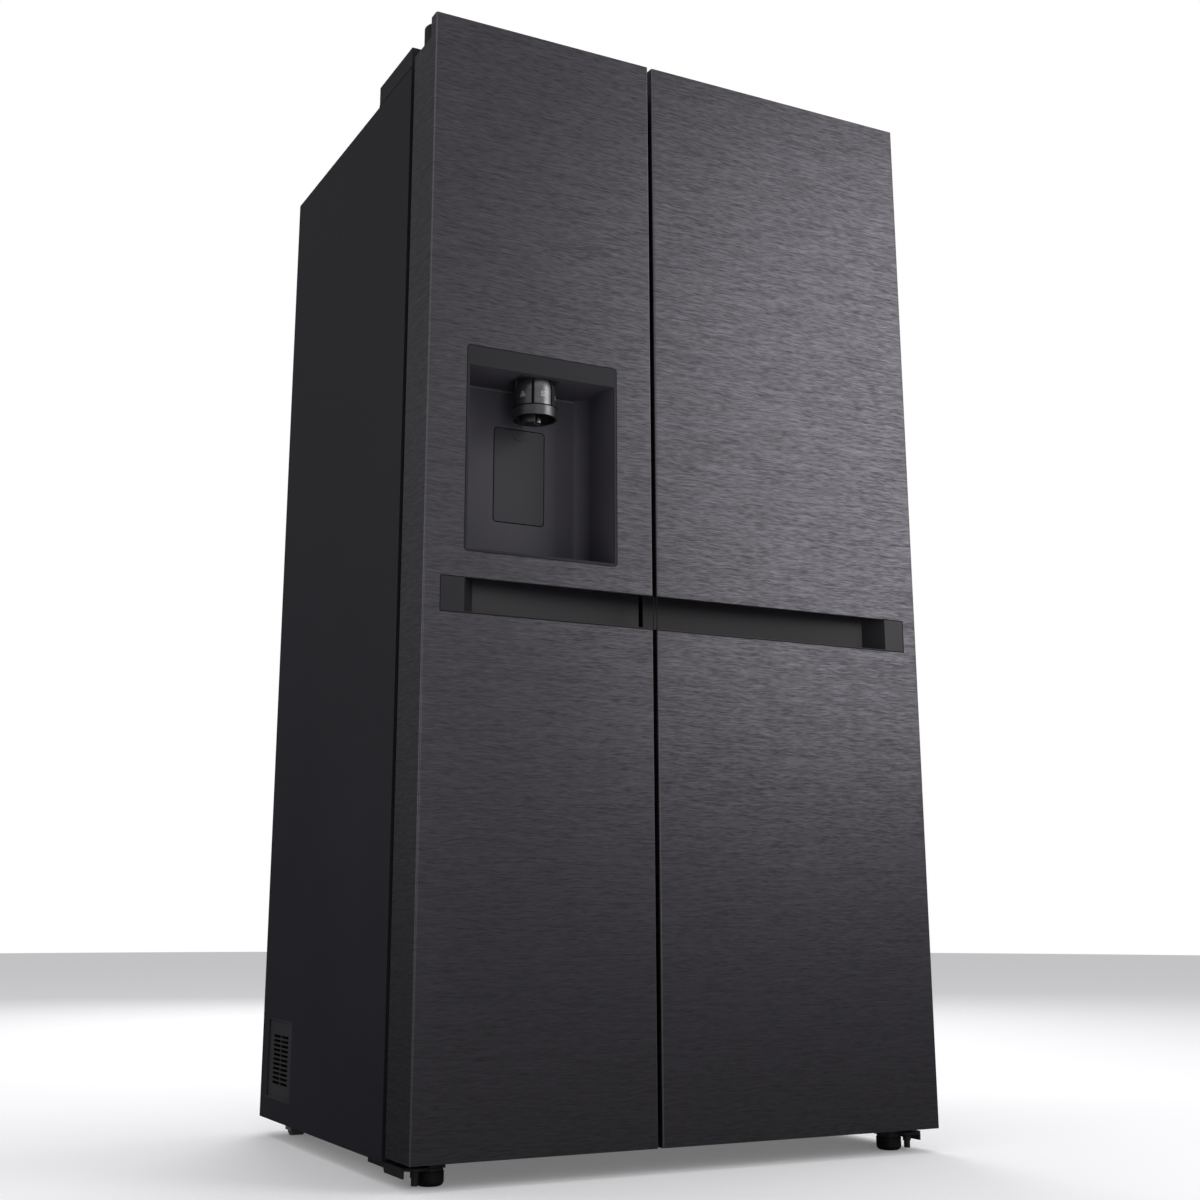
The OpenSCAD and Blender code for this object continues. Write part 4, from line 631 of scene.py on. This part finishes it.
def printed(name, bm, turn, body):
    """Thickens a flat mark and wraps it round the knob at turn radians from its front."""
    bmesh.ops.subdivide_edges(bm, edges=bm.edges, cuts=2, use_grid_fill=False)
    bmesh.ops.triangulate(bm, faces=bm.faces)
    grown = bmesh.ops.extrude_face_region(bm, geom=bm.faces[:])["geom"]
    raised = [v for v in grown if isinstance(v, bmesh.types.BMVert)]
    bmesh.ops.translate(bm, vec=(0, 0, INK), verts=raised)
    bmesh.ops.recalc_face_normals(bm, faces=bm.faces)
    for v in bm.verts:
        r, a = face_r - INK_SUNK + v.co.z, turn + v.co.x / face_r
        v.co = (spout_x + r * sin(a), spout_y - r * cos(a), mark_z + v.co.y)
    if bm.calc_volume(signed=True) < 0:
        bmesh.ops.reverse_faces(bm, faces=bm.faces)
    piece(name, bm, body, mark_ink, "grey_plastic", sharp=20)


bm = bmesh.new()
for u, w in ((-0.0026, -0.0022), (0.0024, -0.0024), (-0.0002, 0.0024)):
    outline_square(bm, u, w, *SMALL_SQUARE)
printed("crushed_ice_mark", bm, -MARK_TURN, "left_button")
bm = bmesh.new()
outline_square(bm, 0, 0, 0.0078, 0.0009)
outline_square(bm, 0, 0, *SMALL_SQUARE)
printed("ice_cube_mark", bm, 0.0, "middle_button")
bm = bmesh.new()
DROP_R = 0.0032
drop = bmesh.ops.create_circle(bm, cap_ends=True, segments=24, radius=DROP_R)["verts"]
for v in drop:
    if v.co.y > 0:
        v.co.x *= 1 - 0.75 * v.co.y / DROP_R
        v.co.y *= 1.9
bmesh.ops.inset_individual(bm, faces=bm.faces[:], thickness=0.0008)
bmesh.ops.delete(bm, geom=[max(bm.faces, key=lambda f: f.calc_area())], context="FACES")
printed("water_drop_mark", bm, MARK_TURN, "right_button")

# ---------------------------------------------------------------- door linings and gaskets
# White vacuum-formed liners, insulation between them and the skins, and grey magnetic
# gaskets with a bellows waist.
liner_white = grained("liner_white", (0.70, 0.71, 0.71), (0.76, 0.77, 0.77), 0.28, 0.36, 500,
                      0.00004, 3.0)
foam_yellow = grained("insulation_foam", (0.62, 0.5, 0.26), (0.74, 0.62, 0.36), 0.8, 0.95, 260,
                      0.0004)
dress(["freezer_door_liner", "fridge_door_liner", "cabinet_liners"], liner_white)
dress(["freezer_door_foam", "fridge_door_foam", "cabinet_foam"], foam_yellow)
gasket_rubber = grained("gasket_rubber", (0.17, 0.17, 0.175), (0.21, 0.21, 0.215), 0.5, 0.62, 900,
                        0.00004)
# Inset and depth of the gasket's section, in millimetres
GASKET_OUTLINE = ((3, 0), (15, 0), (15.6, 2), (13, 4), (13, 5.5), (16, 7), (17.5, 9), (18, 11),
                  (17.6, 13.1), (16, 13.7), (2, 13.7), (0.4, 13.1), (0, 11), (0.5, 9), (2, 7),
                  (5, 5.5), (5, 4), (2.5, 2))
for side in ("freezer", "fridge"):
    low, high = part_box(side + "_door_gasket")
    bm = bmesh.new()
    rings = []
    for inset, depth in GASKET_OUTLINE:
        a, y = inset * MM, low.y + depth * MM
        corners = [bm.verts.new(c) for c in (
            (low.x + a, y, low.z + a), (high.x - a, y, low.z + a),
            (high.x - a, y, high.z - a), (low.x + a, y, high.z - a))]
        rings.append([bm.edges.new((corners[k], corners[(k + 1) % 4])) for k in range(4)])
    for one, other in zip(rings, rings[1:] + rings[:1]):
        bmesh.ops.bridge_loops(bm, edges=one + other)
    bmesh.ops.recalc_face_normals(bm, faces=bm.faces)
    piece(side + "_door_seal", bm, side + "_door", gasket_rubber, "gasket_rubber",
          side + "_door_gasket", sharp=50)

# ---------------------------------------------------------------- shelves, drawers and bins
# Toughened glass held in white moulded frames. The drawers, bins and ice box are moulded in
# clear, faintly blue plastic.


def clear(name, tint, rough, ior):
    made = bpy.data.materials.new(name)
    tree = node_tree(made)
    smear = add(tree, "TexNoise", Vector=add(tree, "TexCoord").outputs["Object"], Scale=30.0, Detail=4.0)
    gloss = add(tree, "MapRange", Value=smear.outputs[0], To_Min=rough * 0.6, To_Max=rough * 1.5)
    finished(tree, add(tree, "BsdfPrincipled", Base_Color=(*tint, 1), Roughness=gloss.outputs[0],
                       IOR=ior, Transmission_Weight=1.0))
    return made


clear_plastic = clear("clear_drawer_plastic", (0.945, 0.97, 0.98), 0.1, 1.46)
shelf_pane = clear("shelf_pane", (0.90, 0.965, 0.94), 0.03, 1.5)
trim_white = grained("trim_white", (0.64, 0.65, 0.66), (0.70, 0.71, 0.72), 0.32, 0.42, 800)
dress(["shelf_glass"], shelf_pane)
dress(["lower_freezer_drawer", "upper_freezer_drawer", "lower_crisper", "upper_crisper",
       "freezer_door_bins", "fridge_door_bins", "dairy_lid", "ice_bin"], clear_plastic)
dress(["shelf_frames", "evaporator_cover", "air_duct", "evaporator_fan", "ice_tray"], trim_white)
grey_moulding = grained("grey_moulding", (0.32, 0.33, 0.34), (0.38, 0.39, 0.40), 0.42, 0.52, 1000)
dress(["ice_maker", "ice_flap"], grey_moulding)
dress(["ice_auger"], grained("auger_steel", (0.5, 0.5, 0.5), (0.6, 0.6, 0.6), 0.25, 0.35, 400,
                             Metallic=1.0))

# ---------------------------------------------------------------- lamps and control board
# Frosted plastic lamp lenses are clipped into both ceilings. The green circuit board with its
# parts sits behind the back panel.
lens = bpy.data.materials.new("lamp_lens")
tree = node_tree(lens)
frost = add(tree, "TexNoise", Vector=add(tree, "TexCoord").outputs["Object"], Scale=500.0)
soft = add(tree, "MapRange", Value=frost.outputs[0], To_Min=0.4, To_Max=0.6)
finished(tree, add(tree, "BsdfPrincipled", Base_Color=(0.85, 0.86, 0.88, 1),
                   Roughness=soft.outputs[0], Emission_Color=(1.0, 0.97, 0.92, 1),
                   Emission_Strength=2.0))
dress(["lamps"], lens)
dress(["control_box"], grained("board_green", (0.02, 0.10, 0.05), (0.03, 0.16, 0.08), 0.4, 0.55,
                               300))
